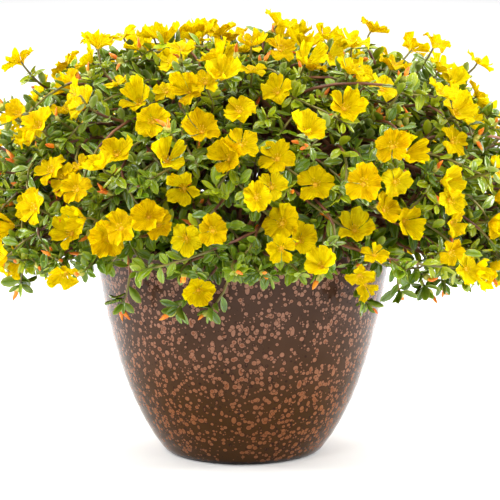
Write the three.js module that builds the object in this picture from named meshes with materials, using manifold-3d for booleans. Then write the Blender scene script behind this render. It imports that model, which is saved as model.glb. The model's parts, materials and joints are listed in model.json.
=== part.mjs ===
// Potted portulaca: a glazed bowl of soil, one rooted foot, arching stems, and masses of leaves and flowers.
// Millimetres, +Z up. The origin is the middle of the pot's flat underside, and -Y is the front.
import * as THREE from "three";
import { mergeVertices } from "three/addons/utils/BufferGeometryUtils.js";
import Module from "manifold-3d";

const wasm = await Module();
wasm.setup();

// Driving dimensions
const JOINT_GAP = 0.3;
const SEED = 7026;

const POT = {
  height: 212,
  baseRadius: 75,
  rimRadius: 145,
  wall: 10,
  floor: 15,
  baseFlare: 0.85, // outward slope of the wall where it leaves the base
  baseReach: 49, // how far up that slope carries
  rimFlare: 0.12,
  rimReach: 79,
  edgeRound: 4, // height of the worn edge at the foot, and how far in that edge goes
  edgeInset: 1.6,
  lipDrop: 3,
  sides: 40,
  wallSteps: 7,
};
const SOIL = { belowRim: 22, mound: 5, wallGap: 0.45, middleRadius: 80, middleDrop: 1.5, flatMargin: 4 };
const FOOT = {
  flareRadius: 27,
  flareHeight: 7,
  waistRadius: 22,
  waistHeight: 2.8,
  headRadius: 18,
  headLift: 14,
  headSteps: 4,
  sides: 16,
};

// The outline of the whole head of foliage: a squared dome that hangs over the rim, furthest at its sides.
const CROWN = {
  centreZ: 205,
  height: 208,
  reach: { right: 300, left: 272, front: 224, back: 240 },
  droop: { right: 88, left: 44, front: 14, back: 44 },
  flowersFrom: { right: 172, left: 186, front: 226, back: 212 }, // height that flowers open above
  squareness: { right: 3, left: 3, front: 2.4, back: 2.4 },
  underSquareness: 1.5, // under 2, so that the underside slopes up towards the edge
  overshoot: 1.08, // how far leaves may stand out of the dome
};

// Rings of masses from the top down. Angles are in degrees: polar from the vertical, the rest from the level.
// The floor is the plane over the rim that a ring's cores stay above, by its height and tilt.
const RINGS = [
  { name: "top", count: 1, turn: 0, polar: 4, leave: 88, arrive: 82, split: 0.56 },
  { name: "upper", count: 5, turn: 18, polar: 40, leave: 58, arrive: 38, split: 0.56 },
  { name: "shoulder", count: 8, turn: 22.5, polar: 68, leave: 32, arrive: 8, split: 0.58, floor: [6, 72] },
  { name: "skirt", count: 8, turn: 0, polar: 97, leave: 12, arrive: -40, split: 0.5, floor: [4, 35] },
];
const LIMB = {
  tipScale: 0.93,
  handle: 0.36,
  rootRadius: 2.7,
  splitRadius: 1.9,
  sides: 5,
  steps: 4,
  samples: 12,
};
const STEM = { tipRadius: 1, sides: 3, steps: 3, anchor: 0.55 };

// The dense middle of a mass fills its space out to an uneven share of the dome, cut flat where spaces meet.
const CORE = {
  share: [0.84, 0.92],
  size: 260,
  spreads: [13, 27], // rings of outer faces, by their angle from the middle of the mass
  faces: 5,
  leastSpread: 0.35, // keeps the faces of the topmost core from crowding round the pole
  cellGap: 1.5,
  stemGap: 4,
  limbGap: 1.5,
  rimGap: 4,
  sleeveSides: 6,
};

// Shoots end on an even lattice over the dome, and a few trail down the pot's face.
const SHOOTS = {
  count: 96,
  lowestPolar: 114,
  scale: [0.92, 1.01],
  wander: 0.07,
  drawIn: { steps: 6, share: 0.08 },
  leaveAt: [0.22, 0.5], // how far along the mass's stem a shoot leaves it
  rootRadius: 1,
  tipRadius: 0.7,
  sides: 3,
  samples: 16,
};
const TRAILERS = {
  azimuths: [227, 248, 259, 315],
  radius: 163,
  drop: 50,
  leave: 12, // angle over the level where it leaves, and how far that carries
  swing: 1.5,
  steps: 5,
  leavesAt: [0.4, 0.6, 0.8, 0.93],
  leafSize: 0.7,
  leafSpread: 53,
};

// A flower is a thin cupped star. Its stalk meets the back of the cup off the middle, by the hold.
const FLOWER = {
  petals: 5,
  outline: [0.64, 1, 1],
  radius: 21,
  cup: 7,
  thick: 2,
  hold: 6,
  vary: 0.08,
  upturn: 0.25,
  lean: 0.6,
  sizes: [1, 0.84, 0.68],
  share: 0.9,
};
const LEAF = {
  count: 300,
  lowestPolar: 124,
  length: 42,
  width: 19,
  thick: 2.4,
  widest: 0.58,
  arch: 0.08,
  sink: 3,
  depth: 40, // how far under the dome its place on the core is looked for
  lift: [16, 58], // angle from the face it grows on
  downhill: 0.5,
  edge: 7, // least distance of its root from the edge of the space
  tries: [
    { size: 1, inward: 0 },
    { size: 0.9, inward: 0.8 },
    { size: 0.8, inward: 2 },
    { size: 0.62, inward: 2 },
  ],
};
const BUD = { length: 16, width: 6, widest: 0.4, sink: 0.9 };
const CLEAR = { cell: 0.45, limb: 2, pot: 2, sample: 4.5, leaves: 2.6, stalk: 9 };

const GOLDEN_ANGLE = Math.PI * (3 - Math.sqrt(5));
const UP = new THREE.Vector3(0, 0, 1);
const degrees = THREE.MathUtils.degToRad;

const COLOURS = {
  glaze: { color: 0x5a3b27, roughness: 0.18, metalness: 0 },
  soil: { color: 0x2b2019, roughness: 0.95, metalness: 0 },
  stem: { color: 0x7d4a35, roughness: 0.6, metalness: 0 },
  foliage: { color: 0x6d8a22, roughness: 0.5, metalness: 0 },
};
const materials = Object.fromEntries(
  Object.entries(COLOURS).map(([name, look]) => [name, new THREE.MeshStandardMaterial({ name, ...look })]),
);

// A seeded stream of numbers from 0 to 1.
function seededStream(seed) {
  let state = seed >>> 0;
  return () => {
    state = (state + 0x6d2b79f5) >>> 0;
    let mixed = Math.imul(state ^ (state >>> 15), state | 1);
    mixed = (mixed + Math.imul(mixed ^ (mixed >>> 7), mixed | 61)) ^ mixed;
    return ((mixed ^ (mixed >>> 14)) >>> 0) / 4294967296;
  };
}

// A geometry as a solid: corners joined, collapsed faces dropped.
function solidOf(geometry) {
  const bare = geometry.clone();
  bare.deleteAttribute("normal");
  bare.deleteAttribute("uv");
  const merged = mergeVertices(bare, 1e-4);
  const corners = merged.index.array;
  const kept = [];
  for (let i = 0; i < corners.length; i += 3) {
    const [a, b, c] = corners.slice(i, i + 3);
    if (a !== b && b !== c && c !== a) kept.push(a, b, c);
  }
  return new wasm.Manifold(
    new wasm.Mesh({
      numProp: 3,
      vertProperties: merged.attributes.position.array,
      triVerts: new Uint32Array(kept),
    }),
  );
}

// One fused body: scraps and sealed hollows are dropped with all but the largest piece.
function fuse(solids) {
  const whole = wasm.Manifold.union(solids).simplify(0.03);
  const body = whole.decompose().reduce((most, piece) => (piece.volume() > most.volume() ? piece : most));
  const mesh = body.getMesh();
  const geometry = new THREE.BufferGeometry();
  geometry.setAttribute("position", new THREE.BufferAttribute(new Float32Array(mesh.vertProperties), 3));
  geometry.setIndex(new THREE.BufferAttribute(new Uint32Array(mesh.triVerts), 1));
  geometry.computeVertexNormals();
  return geometry;
}

function addNode(group, name, geometry, material) {
  const mesh = new THREE.Mesh(geometry, material);
  mesh.name = name;
  group.add(mesh);
}

// A turned shape from (radius, height) points, with its axis along +Z.
function turned(points, sides) {
  return new THREE.LatheGeometry(points, sides).rotateX(Math.PI / 2);
}

function potOuterCurve() {
  const { baseRadius, rimRadius, height } = POT;
  return new THREE.CubicBezierCurve(
    new THREE.Vector2(baseRadius, 0),
    new THREE.Vector2(baseRadius + POT.baseFlare * POT.baseReach, POT.baseReach),
    new THREE.Vector2(rimRadius - POT.rimFlare * POT.rimReach, height - POT.rimReach),
    new THREE.Vector2(rimRadius, height),
  );
}

// Radius on a profile at a height, between its points.
function radiusAt(profile, z) {
  const above = profile.findIndex((p) => p.y >= z);
  const [low, high] = [profile[above - 1], profile[above]];
  return THREE.MathUtils.mapLinear(z, low.y, high.y, low.x, high.x);
}

const potOutside = potOuterCurve()
  .getSpacedPoints(POT.wallSteps)
  .filter((p) => p.y > POT.edgeRound && p.y < POT.height - POT.lipDrop);
potOutside.unshift(new THREE.Vector2(POT.baseRadius + POT.edgeInset, POT.edgeRound));
potOutside.push(new THREE.Vector2(POT.rimRadius - POT.rimFlare * POT.lipDrop, POT.height - POT.lipDrop));

// The inner face from the floor's edge up to the lip.
const potInside = potOutside
  .filter((p, i, wall) => (wall.length - i) % 2 === 1 && p.y > POT.floor + POT.edgeRound)
  .map((p) => new THREE.Vector2(p.x - POT.wall, p.y));
potInside.unshift(new THREE.Vector2(radiusAt(potOutside, POT.floor) - POT.wall - POT.edgeRound, POT.floor));

function makePot() {
  const points = [
    new THREE.Vector2(0, 0),
    new THREE.Vector2(POT.baseRadius - POT.edgeInset, 0),
    ...potOutside,
    new THREE.Vector2(POT.rimRadius - POT.lipDrop, POT.height),
    new THREE.Vector2(POT.rimRadius - POT.wall + POT.lipDrop, POT.height),
    ...potInside.slice().reverse(),
    new THREE.Vector2(0, POT.floor),
  ];
  return turned(points, POT.sides);
}

const soilTop = POT.height - SOIL.belowRim;

// The soil follows the pot's inner face up to the surface, a hair clear of it, and rises to the middle.
function makeSoil() {
  const edgeTop = soilTop - SOIL.mound;
  const lowest = POT.floor + JOINT_GAP;
  const wall = [lowest, ...potInside.map((p) => p.y).filter((z) => z > lowest && z < edgeTop), edgeTop];
  const points = [
    new THREE.Vector2(0, lowest),
    ...wall.map((z) => new THREE.Vector2(radiusAt(potInside, z) - SOIL.wallGap, z)),
    new THREE.Vector2(SOIL.middleRadius, soilTop - SOIL.middleDrop),
    new THREE.Vector2(FOOT.flareRadius + SOIL.flatMargin, soilTop),
    new THREE.Vector2(0, soilTop),
  ];
  return turned(points, POT.sides);
}

const footGround = soilTop + JOINT_GAP;
const footCentre = new THREE.Vector3(0, 0, footGround + FOOT.headLift);

// The short rooted foot: a flare at the soil, then a round head that the stems leave.
function makeFoot() {
  const waist = -Math.asin((FOOT.headLift - FOOT.flareHeight) / FOOT.headRadius);
  const head = Array.from({ length: FOOT.headSteps + 1 }, (_, i) => {
    const angle = waist + ((Math.PI / 2 - waist) * i) / FOOT.headSteps;
    const radius = i === FOOT.headSteps ? 0 : FOOT.headRadius * Math.cos(angle);
    return new THREE.Vector2(radius, footCentre.z + FOOT.headRadius * Math.sin(angle));
  });
  const points = [
    new THREE.Vector2(0, footGround),
    new THREE.Vector2(FOOT.flareRadius, footGround),
    new THREE.Vector2(FOOT.waistRadius, footGround + FOOT.waistHeight),
    ...head,
  ];
  return turned(points, FOOT.sides);
}

// The dome's sizes in the direction of a point, which differ to the right, left, front, back and underneath.
function crownSizes(x, y, rise) {
  const sideways = x > 0 ? "right" : "left";
  const lengthways = y > 0 ? "back" : "front";
  const sideShare = (x * x) / Math.max(x * x + y * y, 1e-9);
  const blend = (sizes) => sideShare * sizes[sideways] + (1 - sideShare) * sizes[lengthways];
  return {
    reachX: CROWN.reach[sideways],
    reachY: CROWN.reach[lengthways],
    height: rise > 0 ? CROWN.height : blend(CROWN.droop),
    squareness: rise > 0 ? blend(CROWN.squareness) : CROWN.underSquareness,
    flowersFrom: blend(CROWN.flowersFrom),
  };
}

// A point of the dome at a scale.
function crownPoint(azimuth, polar, scale) {
  const x = Math.cos(azimuth) * Math.sin(polar);
  const y = Math.sin(azimuth) * Math.sin(polar);
  const rise = Math.cos(polar);
  const { reachX, reachY, height, squareness: n } = crownSizes(x, y, rise);
  const fit = scale * (Math.hypot(x, y) ** n + Math.abs(rise) ** n) ** (-1 / n);
  return new THREE.Vector3(x * fit * reachX, y * fit * reachY, CROWN.centreZ + rise * fit * height);
}

// How far out a point lies as a share of the dome.
function crownShare(point) {
  const rise = point.z - CROWN.centreZ;
  const { reachX, reachY, height, squareness: n } = crownSizes(point.x, point.y, rise);
  const across = Math.hypot(point.x / reachX, point.y / reachY);
  const upward = Math.abs(rise) / height;
  return (across ** n + upward ** n) ** (1 / n);
}

// The dome's outward direction at a point.
function crownNormal(point) {
  const rise = point.z - CROWN.centreZ;
  const { reachX, reachY, height, squareness: n } = crownSizes(point.x, point.y, rise);
  const across = Math.hypot(point.x / reachX, point.y / reachY) ** (n - 2);
  const upward = Math.max(Math.abs(rise) / height, 1e-6) ** (n - 2);
  return new THREE.Vector3(
    (across * point.x) / reachX ** 2,
    (across * point.y) / reachY ** 2,
    (upward * rise) / height ** 2,
  ).normalize();
}

// A closed tapering limb: a cylinder bent along a curve.
function bentLimb(curve, rootRadius, tipRadius, sides, steps) {
  const limb = new THREE.CylinderGeometry(tipRadius, rootRadius, 1, sides, steps);
  const { normals, binormals } = curve.computeFrenetFrames(steps, false);
  const position = limb.attributes.position;
  for (let i = 0; i < position.count; i++) {
    const step = Math.round((position.getY(i) + 0.5) * steps);
    const centre = curve.getPointAt(step / steps);
    centre.addScaledVector(normals[step], position.getX(i));
    centre.addScaledVector(binormals[step], -position.getZ(i));
    position.setXYZ(i, centre.x, centre.y, centre.z);
  }
  return limb;
}

// The part of a cubic curve between two of its parameters.
function stretchOf(curve, from, to) {
  const third = (to - from) / 3;
  const start = curve.getPoint(from);
  const end = curve.getPoint(to);
  const slope = (t) => {
    const u = 1 - t;
    const leg = (a, b, weight) => b.clone().sub(a).multiplyScalar(weight);
    return leg(curve.v0, curve.v1, 3 * u * u)
      .add(leg(curve.v1, curve.v2, 6 * u * t))
      .add(leg(curve.v2, curve.v3, 3 * t * t));
  };
  return new THREE.CubicBezierCurve3(
    start,
    start.clone().addScaledVector(slope(from), third),
    end.clone().addScaledVector(slope(to), -third),
    end,
  );
}

// Direction at an azimuth, raised from the level by an angle.
function raised(azimuth, angle) {
  return new THREE.Vector3(
    Math.cos(azimuth) * Math.cos(angle),
    Math.sin(azimuth) * Math.cos(angle),
    Math.sin(angle),
  );
}

// One arching line from the foot to the dome, in the upright plane of its tip. Its first part is a bare stem,
// and the rest is the stem of a mass.
function plannedLimb(ring, index) {
  const azimuth = degrees(ring.turn) + (2 * Math.PI * index) / ring.count;
  const tip = crownPoint(azimuth, degrees(ring.polar), LIMB.tipScale);
  const heading = Math.atan2(tip.y, tip.x);
  const leave = raised(heading, degrees(ring.leave));
  const arrive = raised(heading, degrees(ring.arrive));
  const start = footCentre.clone().addScaledVector(leave, FOOT.headRadius + JOINT_GAP);
  const handle = LIMB.handle * start.distanceTo(tip);
  const line = new THREE.CubicBezierCurve3(
    start,
    start.clone().addScaledVector(leave, handle),
    tip.clone().addScaledVector(arrive, -handle),
    tip,
  );
  const gapShare = JOINT_GAP / (3 * handle);
  return {
    name: `${ring.name}_${index + 1}`,
    azimuth,
    polar: degrees(ring.polar),
    floor: ring.floor,
    bare: stretchOf(line, 0, ring.split),
    stem: stretchOf(line, ring.split + gapShare, 1),
    anchor: line.getPoint(ring.split + STEM.anchor * (1 - ring.split)),
  };
}

const limbs = RINGS.flatMap((ring) => Array.from({ length: ring.count }, (_, i) => plannedLimb(ring, i)));
const anchors = limbs.map((limb) => limb.anchor);
const bareLines = limbs.map((limb) => limb.bare.getSpacedPoints(LIMB.samples));

// How far a point lies inside the space of one mass, measured to the planes halfway to the other masses.
function depthInCell(point, owner) {
  const own = point.distanceToSquared(anchors[owner]);
  let depth = Infinity;
  anchors.forEach((anchor, i) => {
    if (i === owner) return;
    const apart = anchor.distanceTo(anchors[owner]);
    depth = Math.min(depth, (point.distanceToSquared(anchor) - own) / (2 * apart));
  });
  return depth;
}

function nearestMass(point) {
  const distances = anchors.map((anchor) => anchor.distanceToSquared(point));
  return distances.indexOf(Math.min(...distances));
}

const nearestOnLine = new THREE.Vector3();
const stretch = new THREE.Line3();

function clearOfLimbs(point, margin) {
  return bareLines.every((line) =>
    line.slice(1).every((end, i) => {
      stretch.set(line[i], end).closestPointToPoint(point, true, nearestOnLine);
      return nearestOnLine.distanceTo(point) > LIMB.rootRadius + margin;
    }),
  );
}

function clearOfPot(point, margin) {
  const out = Math.hypot(point.x, point.y);
  return point.z > POT.height + margin || out > POT.rimRadius + margin;
}

// True where a point of a mass keeps to its space and its share of the dome, clear of the pot and bare stems.
function allowed(point, mass) {
  return (
    depthInCell(point, mass.owner) > CLEAR.cell &&
    (crownShare(point) < CROWN.overshoot || point.z < POT.height) &&
    clearOfPot(point, CLEAR.pot) &&
    clearOfLimbs(point, CLEAR.limb)
  );
}

// Points along all the edges of a geometry.
function edgePoints(geometry) {
  const flat = geometry.index ? geometry.toNonIndexed() : geometry;
  const position = flat.attributes.position;
  const corner = (i) => new THREE.Vector3().fromBufferAttribute(position, i);
  const points = [];
  for (let i = 0; i < position.count; i++) {
    const from = corner(i);
    const to = corner(i % 3 === 2 ? i - 2 : i + 1);
    const count = Math.max(1, Math.ceil(from.distanceTo(to) / CLEAR.sample));
    for (let k = 0; k < count; k++) points.push(from.clone().lerp(to, k / count));
  }
  return points;
}

// Takes a leaf or flower into a mass where it keeps to the space and, past its root, clear of what is there.
function takeIn(mass, geometry, root) {
  const points = edgePoints(geometry);
  if (!points.every((p) => allowed(p, mass))) return false;
  const outer = points.filter((p) => p.distanceTo(root) > CLEAR.stalk);
  const free = outer.every((p) => mass.taken.every((q) => p.distanceToSquared(q) > CLEAR.leaves ** 2));
  if (!free) return false;
  mass.taken.push(...outer);
  mass.pieces.push(solidOf(geometry));
  return true;
}

// The faces that bound the core of a mass: its space, the dome, its bare stem's end and a floor over the rim.
function coreFaces(mass, limb, draw) {
  const own = anchors[mass.owner];
  const faces = [];
  const addFace = (point, outward, inSight) => faces.push({ outward, reach: point.dot(outward), inSight });
  anchors.forEach((other, i) => {
    if (i === mass.owner) return;
    const outward = other.clone().sub(own).normalize();
    addFace(own.clone().lerp(other, 0.5).addScaledVector(outward, -CORE.cellGap), outward, false);
  });
  CORE.spreads.forEach((spread, ringIndex) => {
    for (let i = 0; i < CORE.faces; i++) {
      const tilt = degrees(spread);
      const turn = ((i + ringIndex / 2) * 2 * Math.PI) / CORE.faces;
      const around = Math.max(Math.sin(limb.polar), CORE.leastSpread);
      const azimuth = limb.azimuth + (tilt * Math.sin(turn)) / around;
      const share = THREE.MathUtils.lerp(...CORE.share, draw());
      const point = crownPoint(azimuth, limb.polar + tilt * Math.cos(turn), share);
      addFace(point, crownNormal(point), true);
    }
  });
  const onward = limb.stem.getTangent(0);
  addFace(limb.stem.v0.clone().addScaledVector(onward, CORE.stemGap), onward.clone().negate(), false);
  if (limb.floor) {
    const [lift, tilt] = limb.floor;
    const heading = Math.atan2(own.y, own.x);
    const edge = raised(heading, 0).multiplyScalar(POT.rimRadius + CORE.rimGap);
    addFace(edge.setZ(POT.height + lift), raised(heading, degrees(tilt)).negate(), false);
  }
  return faces;
}

// The core of a mass: a block cut back to its faces, and kept off the bare stems.
function makeCore(mass) {
  const own = anchors[mass.owner];
  const block = new THREE.BoxGeometry(CORE.size, CORE.size, CORE.size);
  let body = solidOf(block.translate(own.x, own.y, own.z));
  for (const { outward, reach } of mass.faces) {
    body = body.trimByPlane(outward.clone().negate().toArray(), -reach);
  }
  const [rootRadius, splitRadius] = [LIMB.rootRadius + CORE.limbGap, LIMB.splitRadius + CORE.limbGap];
  for (const { bare } of limbs) {
    body = body.subtract(solidOf(bentLimb(bare, rootRadius, splitRadius, CORE.sleeveSides, LIMB.steps)));
  }
  return body;
}

// Where a line from a point in the core of a mass leaves it, and the face that it leaves by.
function coreExit(mass, start, direction) {
  let exit = { distance: Infinity };
  for (const { outward, reach, inSight } of mass.faces) {
    const slope = outward.dot(direction);
    const room = reach - outward.dot(start);
    if (room < 0) return { inSight: false };
    const distance = slope > 1e-6 ? room / slope : Infinity;
    if (distance < exit.distance) exit = { distance, outward, inSight };
  }
  return { ...exit, point: start.clone().addScaledVector(direction, exit.distance) };
}

// Moves a shape from its own frame to a place: +X along one direction, +Z as near as can be to another.
function placed(geometry, origin, along, facing) {
  const side = new THREE.Vector3().crossVectors(facing, along).normalize();
  const face = new THREE.Vector3().crossVectors(along, side);
  return geometry.applyMatrix4(new THREE.Matrix4().makeBasis(along, side, face).setPosition(origin));
}

// An eight-faced leaf or bud from its root at the origin to its tip on +X.
function eightFaced(length, width, thick, widest, arch) {
  const shape = new THREE.OctahedronGeometry(1, 0);
  const position = shape.attributes.position;
  for (let i = 0; i < position.count; i++) {
    const along = position.getX(i) < -0.5 ? 0 : position.getX(i) > 0.5 ? 1 : widest;
    const lift = along === widest ? arch * length : 0;
    position.setXYZ(i, along * length, (position.getY(i) * width) / 2, (position.getZ(i) * thick) / 2 + lift);
  }
  return shape;
}

function leafShape(size) {
  return eightFaced(LEAF.length * size, LEAF.width * size, LEAF.thick, LEAF.widest, LEAF.arch);
}

// A thin cupped flower that opens towards +Z, held off its middle at the origin.
function flowerShape(size, draw) {
  const corners = FLOWER.petals * FLOWER.outline.length;
  const rim = Array.from({ length: corners }, (_, i) => {
    const out = size * FLOWER.outline[i % FLOWER.outline.length] * (1 + FLOWER.vary * (draw() - 0.5));
    const curl = 1 + 2 * FLOWER.vary * (draw() - 0.5);
    return { out: out * FLOWER.radius, lift: out * FLOWER.cup * curl };
  });
  const profile = [new THREE.Vector2(0, 0), new THREE.Vector2(1, 0), new THREE.Vector2(0, FLOWER.thick)];
  const flower = turned(profile, corners);
  const position = flower.attributes.position;
  for (let i = 0; i < position.count; i++) {
    const x = position.getX(i);
    const y = position.getY(i);
    if (Math.hypot(x, y) < 0.5) continue;
    const turn = Math.round((Math.atan2(y, x) / (2 * Math.PI)) * corners);
    const { out, lift } = rim[(turn + corners) % corners];
    position.setXYZ(i, x * out, y * out, lift + FLOWER.thick / 2);
  }
  const midPetal = (1.5 * 2 * Math.PI) / corners;
  const backRise = (FLOWER.hold * (FLOWER.cup * size + FLOWER.thick / 2)) / (FLOWER.radius * size);
  return flower.rotateZ(-midPetal).translate(-FLOWER.hold, 0, -backRise - FLOWER.thick * 0.3);
}

// A direction square to another, turned about it by chance.
function chanceSide(direction, draw) {
  const chance = new THREE.Vector3(draw() - 0.5, draw() - 0.5, draw() - 0.5);
  return chance.cross(direction).normalize();
}

// The open flower, or the bud, that ends a shoot, at the largest size that its space allows.
function growEnd(mass, tip, draw) {
  const lean = new THREE.Vector3(draw() - 0.5, draw() - 0.5, draw() - 0.5);
  const facing = crownNormal(tip).addScaledVector(UP, FLOWER.upturn).addScaledVector(lean, FLOWER.lean);
  facing.normalize();
  const along = chanceSide(facing, draw);
  const opensAt = (size) => takeIn(mass, placed(flowerShape(size, draw), tip, along, facing), tip);
  const opens = draw() < FLOWER.share && tip.z > crownSizes(tip.x, tip.y, 0).flowersFrom;
  if (opens && FLOWER.sizes.some(opensAt)) return;
  const root = tip.clone().addScaledVector(facing, -BUD.sink);
  const bud = eightFaced(BUD.length, BUD.width, BUD.width, BUD.widest, 0);
  takeIn(mass, placed(bud, root, facing, along), root);
}

// A leaf that stands out of the core under a point of the dome. It leans down the dome by chance, or inwards
// where the edge of the space is near.
function growLeaf(mass, target, draw) {
  const direction = crownNormal(target);
  const start = target.clone().addScaledVector(direction, -LEAF.depth);
  const { point, outward, inSight } = coreExit(mass, start, direction);
  if (!inSight) return;
  const root = point.clone().addScaledVector(outward, -LEAF.sink);
  const inwards = limbs[mass.owner].stem.v3.clone().sub(point).projectOnPlane(outward).normalize();
  const downhill = UP.clone().negate().projectOnPlane(outward).multiplyScalar(LEAF.downhill);
  for (const { size, inward } of LEAF.tries) {
    const side = chanceSide(outward, draw).add(downhill).addScaledVector(inwards, inward).normalize();
    const lift = degrees(THREE.MathUtils.lerp(...LEAF.lift, draw()));
    const along = outward.clone().multiplyScalar(Math.sin(lift)).addScaledVector(side, Math.cos(lift));
    if (takeIn(mass, placed(leafShape(size), root, along, outward), root)) return;
  }
}

// The leaves along a trailing shoot, set round it by the golden angle.
function growTrailingLeaves(mass, line, draw) {
  const away = raised(Math.atan2(line.v3.y, line.v3.x), 0);
  const spread = degrees(TRAILERS.leafSpread);
  TRAILERS.leavesAt.forEach((place, i) => {
    const tangent = line.getTangentAt(place);
    const side = new THREE.Vector3().crossVectors(tangent, away).normalize();
    side.applyAxisAngle(tangent, i * GOLDEN_ANGLE + draw());
    const along = tangent.clone().multiplyScalar(Math.cos(spread)).addScaledVector(side, Math.sin(spread));
    const root = line.getPointAt(place);
    takeIn(mass, placed(leafShape(TRAILERS.leafSize), root, along, crownNormal(root)), root);
  });
}

// A shoot runs from the mass's stem to its tip, straight, or over and down where it trails.
function shootLine(mass, stem, shoot, draw) {
  const leaveAt = THREE.MathUtils.lerp(...SHOOTS.leaveAt, draw());
  const start = stem.getPointAt(leaveAt);
  const { tip } = shoot;
  const reach = start.distanceTo(tip) / 3;
  const direct = tip.clone().sub(start).normalize();
  const leave = shoot.trails ? raised(Math.atan2(tip.y, tip.x), degrees(TRAILERS.leave)) : direct;
  const arrive = shoot.trails ? UP.clone().negate() : direct;
  const line = new THREE.CubicBezierCurve3(
    start,
    start.clone().addScaledVector(leave, reach * (shoot.trails ? TRAILERS.swing : 1)),
    tip.clone().addScaledVector(arrive, -reach),
    tip,
  );
  const inside = line.getSpacedPoints(SHOOTS.samples).slice(2).every((p) => allowed(p, mass));
  return inside ? line : null;
}

// Points of an even lattice over the dome that wander a little, by azimuth and polar angle.
function latticeAngles(count, lowestPolar, draw) {
  const lowest = Math.cos(degrees(lowestPolar));
  return Array.from({ length: count }, (_, i) => {
    const rise = 1 - ((1 - lowest) * (i + 0.5)) / count;
    const azimuth = i * GOLDEN_ANGLE + (draw() - 0.5) * SHOOTS.wander * 2;
    const polar = Math.acos(rise) + (draw() - 0.5) * SHOOTS.wander * 2;
    return { azimuth, polar };
  });
}

// Draws a point in from the edge of its space until it has the room asked for, or a few steps are taken.
function drawIn(point, owner, room) {
  const { steps, share } = SHOOTS.drawIn;
  for (let step = 0; step < steps && depthInCell(point, owner) < room; step++) {
    point.lerp(limbs[owner].stem.v3, share);
  }
}

// Where the shoots end: over the dome, each with room for a flower in its space, then the trailing ones.
function plannedShoots(draw) {
  const shoots = latticeAngles(SHOOTS.count, SHOOTS.lowestPolar, draw).map(({ azimuth, polar }) => {
    const tip = crownPoint(azimuth, polar, THREE.MathUtils.lerp(...SHOOTS.scale, draw()));
    const owner = nearestMass(tip);
    drawIn(tip, owner, FLOWER.radius);
    return { tip, owner, trails: false };
  });
  for (const angle of TRAILERS.azimuths) {
    const tip = raised(degrees(angle), 0).multiplyScalar(TRAILERS.radius).setZ(POT.height - TRAILERS.drop);
    shoots.push({ tip, owner: nearestMass(tip), trails: true });
  }
  return shoots;
}

// Each mass is its stem, its core, its shoots with their flowers, and its leaves, fused in one.
function makeMasses(group) {
  const draw = seededStream(SEED);
  const shoots = plannedShoots(draw);
  const leafTargets = latticeAngles(LEAF.count, LEAF.lowestPolar, draw).map(({ azimuth, polar }) => {
    const target = crownPoint(azimuth, polar, CORE.share[1]);
    const owner = nearestMass(target);
    drawIn(target, owner, LEAF.edge);
    return { target, owner };
  });
  limbs.forEach((limb, owner) => {
    const mass = { owner, pieces: [], taken: [] };
    mass.faces = coreFaces(mass, limb, draw);
    mass.pieces.push(makeCore(mass));
    const addTwig = (line, rootRadius, tipRadius, sides, steps) => {
      mass.pieces.push(solidOf(bentLimb(line, rootRadius, tipRadius, sides, steps)));
      growEnd(mass, line.v3, draw);
      mass.taken.push(...line.getSpacedPoints(Math.ceil(line.getLength() / CLEAR.sample)));
    };
    addTwig(limb.stem, LIMB.splitRadius, STEM.tipRadius, STEM.sides, STEM.steps);
    for (const shoot of shoots.filter((s) => s.owner === owner)) {
      const line = shootLine(mass, limb.stem, shoot, draw);
      if (!line) continue;
      addTwig(line, SHOOTS.rootRadius, SHOOTS.tipRadius, SHOOTS.sides, shoot.trails ? TRAILERS.steps : 1);
      if (shoot.trails) growTrailingLeaves(mass, line, draw);
    }
    for (const { target } of leafTargets.filter((t) => t.owner === owner)) growLeaf(mass, target, draw);
    addNode(group, `foliage_${limb.name}`, fuse(mass.pieces), materials.foliage);
  });
}

const pottedPlant = new THREE.Group();
addNode(pottedPlant, "pot", makePot(), materials.glaze);
addNode(pottedPlant, "soil", makeSoil(), materials.soil);
addNode(pottedPlant, "rooted_foot", makeFoot(), materials.stem);
for (const limb of limbs) {
  const bare = bentLimb(limb.bare, LIMB.rootRadius, LIMB.splitRadius, LIMB.sides, LIMB.steps);
  addNode(pottedPlant, `stem_${limb.name}`, bare, materials.stem);
}
makeMasses(pottedPlant);

export default pottedPlant;
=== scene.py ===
import json
import math

import bmesh
import bpy
import numpy as np
from mathutils import Matrix, Vector, noise

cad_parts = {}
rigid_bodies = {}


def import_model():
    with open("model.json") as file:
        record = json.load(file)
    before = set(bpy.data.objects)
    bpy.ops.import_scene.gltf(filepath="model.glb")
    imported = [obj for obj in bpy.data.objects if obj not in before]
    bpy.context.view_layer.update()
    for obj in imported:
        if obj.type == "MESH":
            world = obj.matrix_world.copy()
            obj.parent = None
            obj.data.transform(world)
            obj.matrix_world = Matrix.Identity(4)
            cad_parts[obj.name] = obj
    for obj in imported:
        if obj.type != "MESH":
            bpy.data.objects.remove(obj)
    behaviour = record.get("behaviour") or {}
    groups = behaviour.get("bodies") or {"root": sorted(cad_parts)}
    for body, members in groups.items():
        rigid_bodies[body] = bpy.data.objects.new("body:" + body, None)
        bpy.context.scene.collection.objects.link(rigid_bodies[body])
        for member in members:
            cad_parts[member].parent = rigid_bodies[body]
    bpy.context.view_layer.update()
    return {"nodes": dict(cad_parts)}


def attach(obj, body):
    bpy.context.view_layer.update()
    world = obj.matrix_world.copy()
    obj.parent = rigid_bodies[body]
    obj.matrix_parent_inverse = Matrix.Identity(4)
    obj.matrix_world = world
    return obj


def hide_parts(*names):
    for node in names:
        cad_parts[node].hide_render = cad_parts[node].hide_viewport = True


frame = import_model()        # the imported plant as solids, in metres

nodeNames = sorted(frame["nodes"])
goldenAngle = math.pi * (3 - math.sqrt(5))
upward = np.array((0.0, 0.0, 1.0))
anyTurn = 6.28  # a whole turn, for angles left to chance
print("frame:", len(nodeNames), "solids")


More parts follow.
